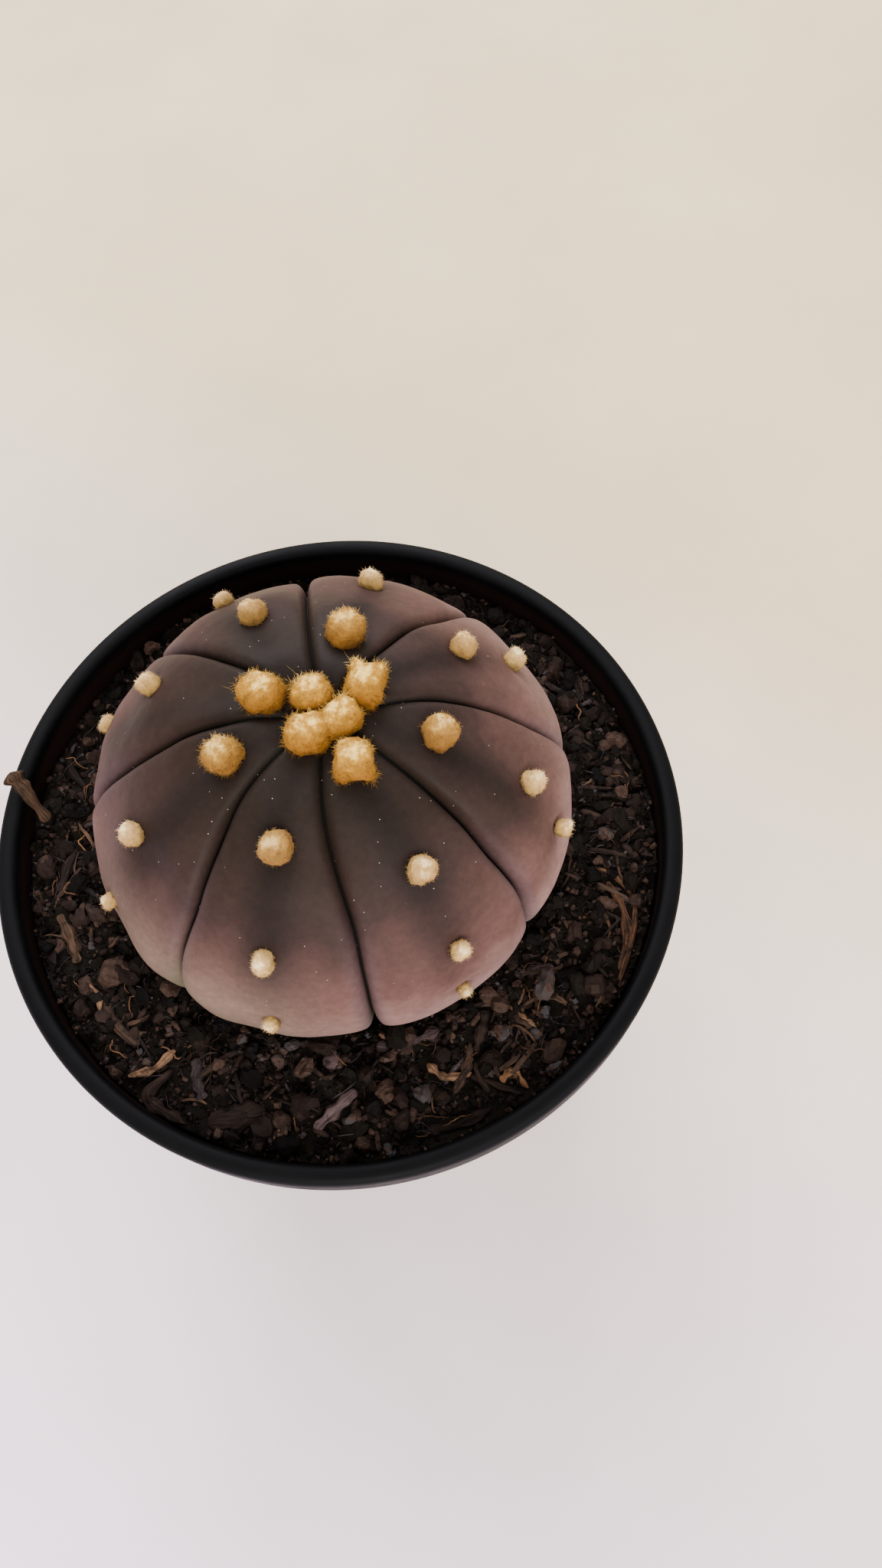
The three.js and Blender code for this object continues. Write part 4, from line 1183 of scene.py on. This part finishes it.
# %% Oval chip
CHIP_ROWS, CHIP_COLUMNS = 25, 40
chip_low, chip_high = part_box("bark_chip_oval")
chip_middle = np.array(chip_low + chip_high) / 2 / MM
chip_half = np.array(chip_high - chip_low) / 2 / MM
polar, turn = ball_angles(CHIP_ROWS, CHIP_COLUMNS)
way = np.stack([np.sin(polar) * np.cos(turn), np.sin(polar) * np.sin(turn), np.cos(polar)], -1)
pebble = way * (0.95 + 0.05 * field(way, 0.9, 71) + 0.03 * field(way * [1, 4, 1], 0.8, 72))[..., None]
chip = new_object("bark_chip_oval_worn", (chip_middle + pebble * chip_half).reshape(-1, 3),
                  ring_faces(CHIP_ROWS, CHIP_COLUMNS))
set_attribute(chip, "along", way[..., 0].ravel() * 3)
set_attribute(chip, "around", way[..., 1].ravel() * 3)
set_attribute(chip, "tone", np.full(CHIP_ROWS * CHIP_COLUMNS, 0.6))
close_poles(chip)

# %% [markdown]
# Wood shows its fibres: streaks 0.2 mm wide and about 3 mm long, which follow each piece. Bark and twigs
# are brown, wood torn open is tan or orange, and wood that has weathered is grey. All of it is dusted with
# peat. Dry wood is rough, with an IOR near 1.5.

# %% Wood materials: torn and weathered
WOODS = {
    "brown": ("bark_torn_brown", "0e0906", "291d17", "443429"),
    "dark": ("bark_composted_dark", "090605", "1b120e", "2d201a"),
    "tan": ("wood_torn_tan", "1e130c", "4b382a", "7c5c43"),
    "orange": ("wood_torn_orange", "22140c", "4a3222", "7c583c"),
    "pink": ("wood_torn_rose", "1a1413", "453636", "615350"),
    "grey": ("wood_weathered_grey", "120e0e", "2e2626", "4a4040"),
}


def wood_material(name, dark, middle, light):
    """Fibres along the piece, lighter on some pieces than on others, with peat dust in patches."""
    wood = new_material(name, {"Roughness": 0.82, "IOR": 1.5, "Specular IOR Level": 0.1})
    along, around, pick = (add(wood, "ShaderNodeAttribute", attribute_name=kind).outputs["Fac"]
                           for kind in ("along", "around", "tone"))
    place = add(wood, "ShaderNodeCombineXYZ", None, {0: along, 1: around, 2: pick}).outputs[0]
    place = add(wood, "ShaderNodeVectorMath", {1: (1 / 3, 1 / 0.2, 40.0)}, {0: place},
                operation="MULTIPLY").outputs[0]
    streaks = add(wood, "ShaderNodeTexNoise", {"Scale": 1.0, "Detail": 5.0, "Roughness": 0.65},
                  {"Vector": place}).outputs["Fac"]
    shift = add(wood, "ShaderNodeMath", {1: 0.34, 2: -0.17}, {0: pick}, operation="MULTIPLY_ADD").outputs[0]
    shift = add(wood, "ShaderNodeMath", None, {0: streaks, 1: shift}, operation="ADD").outputs[0]
    fibre_tone = add(wood, "ShaderNodeValToRGB", None, {"Fac": shift},
                     [(0.3, dark), (0.52, middle), (0.78, light)])
    where = add(wood, "ShaderNodeTexCoord").outputs["Object"]
    dust = add(wood, "ShaderNodeTexNoise", {"Scale": 1 / (2.2 * MM), "Detail": 5.0, "Roughness": 0.7},
               {"Vector": where}).outputs["Fac"]
    dusty = add(wood, "ShaderNodeMapRange",
                {"From Min": 0.66, "From Max": 0.48, "To Min": 0.8, "To Max": 0.0},
                {"Value": dust}, interpolation_type="SMOOTHSTEP").outputs["Result"]
    tone = add(wood, "ShaderNodeMix", {7: colour("0d0907")}, {0: dusty, 6: fibre_tone.outputs["Color"]},
               data_type="RGBA").outputs[2]
    feed(wood, "Base Color", tone)
    relief = add(wood, "ShaderNodeBump", {"Strength": 0.8, "Distance": 0.15 * MM}, {"Height": streaks})
    feed(wood, "Normal", relief.outputs["Normal"])
    return wood


woods = {finish: wood_material(*recipe) for finish, recipe in WOODS.items()}
for piece, finish, _ in wooden:
    piece.data.materials.append(woods[finish])
chip.data.materials.append(woods["pink"])

# %% [markdown]
# ## Floor and light
# The pot stands on a pale floor. Its tint is painted light: warmer towards the back, and a cooler pink
# towards the front as a painted reflection of the sky. A broad window light from the back left, another one
# from the front and a bright room give the pale, almost shadowless daylight of a room with two windows. A
# small cool lamp at the right puts a soft shine on the pot's lip.

# %% Floor and lights
FLOOR_REACH = 1500.0
floor_corners = [(x * FLOOR_REACH, y * FLOOR_REACH, 0) for x, y in [(-1, -1), (1, -1), (1, 1), (-1, 1)]]
floor = new_object("floor", floor_corners, [(0, 1, 2, 3)])
plaster = new_material("plaster_pale_painted_tint", {"Roughness": 0.7})
where = add(plaster, "ShaderNodeTexCoord").outputs["Object"]
smudges = add(plaster, "ShaderNodeTexNoise", {"Scale": 1 / (60 * MM), "Detail": 5.0, "Roughness": 0.55},
              {"Vector": where}).outputs["Fac"]
# The floor's tint: painted warm light towards the back, and a painted cool pink reflection towards the front.
away = add(plaster, "ShaderNodeVectorMath", {1: (0.5, 0.8, 0)}, {0: where},
           operation="DOT_PRODUCT").outputs["Value"]
away = add(plaster, "ShaderNodeMapRange", {"From Min": -0.12, "From Max": 0.1},
           {"Value": away}).outputs["Result"]
tint = add(plaster, "ShaderNodeMix", {6: colour("fdeafb"), 7: colour("d8c49a")}, {0: away},
           data_type="RGBA").outputs[2]
soft = add(plaster, "ShaderNodeMapRange", {"From Min": 0.3, "From Max": 0.7, "To Min": 0.86, "To Max": 1.0},
           {"Value": smudges}).outputs["Result"]
pale = add(plaster, "ShaderNodeVectorMath", None, {0: tint, 1: soft}, operation="MULTIPLY")
feed(plaster, "Base Color", pale.outputs[0])
floor.data.materials.append(plaster)

LIGHTS = {
    # name: place in metres, aim, width in metres, watts, colour
    "window_back": ((-0.18, 0.80, 0.76), (0, 0, 0.07), 0.8, 23.0, "f4f4ff"),
    "window_front": ((0.10, -0.92, 0.68), (0, -0.3, 0), 0.8, 22.0, "fffaf8"),
    "shine": ((0.62, -0.50, 0.42), (0.02, -0.02, 0.07), 0.35, 2.5, "dde6ff"),
}
for name, (place, aim, width, watts, code) in LIGHTS.items():
    lamp = bpy.data.lights.new(name, "AREA")
    lamp.size = width
    lamp.energy = watts
    lamp.color = colour(code)[:3]
    light = bpy.data.objects.new(name, lamp)
    away = unit(np.array(place) - np.array(aim))
    side_way = unit(np.cross((0.0, 0.0, 1.0), away))
    light.matrix_world = Matrix.Translation(place) @ Matrix(
        np.column_stack([side_way, np.cross(away, side_way), away]).tolist()).to_4x4()
    bpy.context.scene.collection.objects.link(light)
room = bpy.data.worlds.new("room")
room.use_nodes = True
for socket, value in {"Color": colour("f4f1ee"), "Strength": 1.6}.items():
    room.node_tree.nodes["Background"].inputs[socket].default_value = value
bpy.context.scene.world = room

# %% [markdown]
# ## Joining the frame
# Every piece rides on the one body, and the CAD node that a piece stands for is hidden.

# %% Ride and replace
SLOT_OF_WOOD = {"brown": "twig_brown", "dark": "bark_dark", "tan": "wood_tan", "orange": "wood_tan",
                "pink": "wood_grey", "grey": "wood_grey"}
placed = [
    (pot, "pot_plastic", "pot"), (body, "cactus_skin", "cactus_body"),
    (young_wool, "cactus_skin", None), (old_wool, "cactus_skin", None),
    (soil, "potting_soil", "soil"), (coarse, "potting_soil", None), (fine, "potting_soil", None),
    (chip, "wood_tan", "bark_chip_oval")]
placed += [(piece, SLOT_OF_WOOD[finish], node) for piece, finish, node in wooden]
faces_in_all = 0
for piece, slot, node in placed:
    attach(piece, "root")
    if node:
        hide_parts(node)
    piece.data.calc_loop_triangles()
    faces_in_all += len(piece.data.loop_triangles)
print("triangles in all:", faces_in_all)
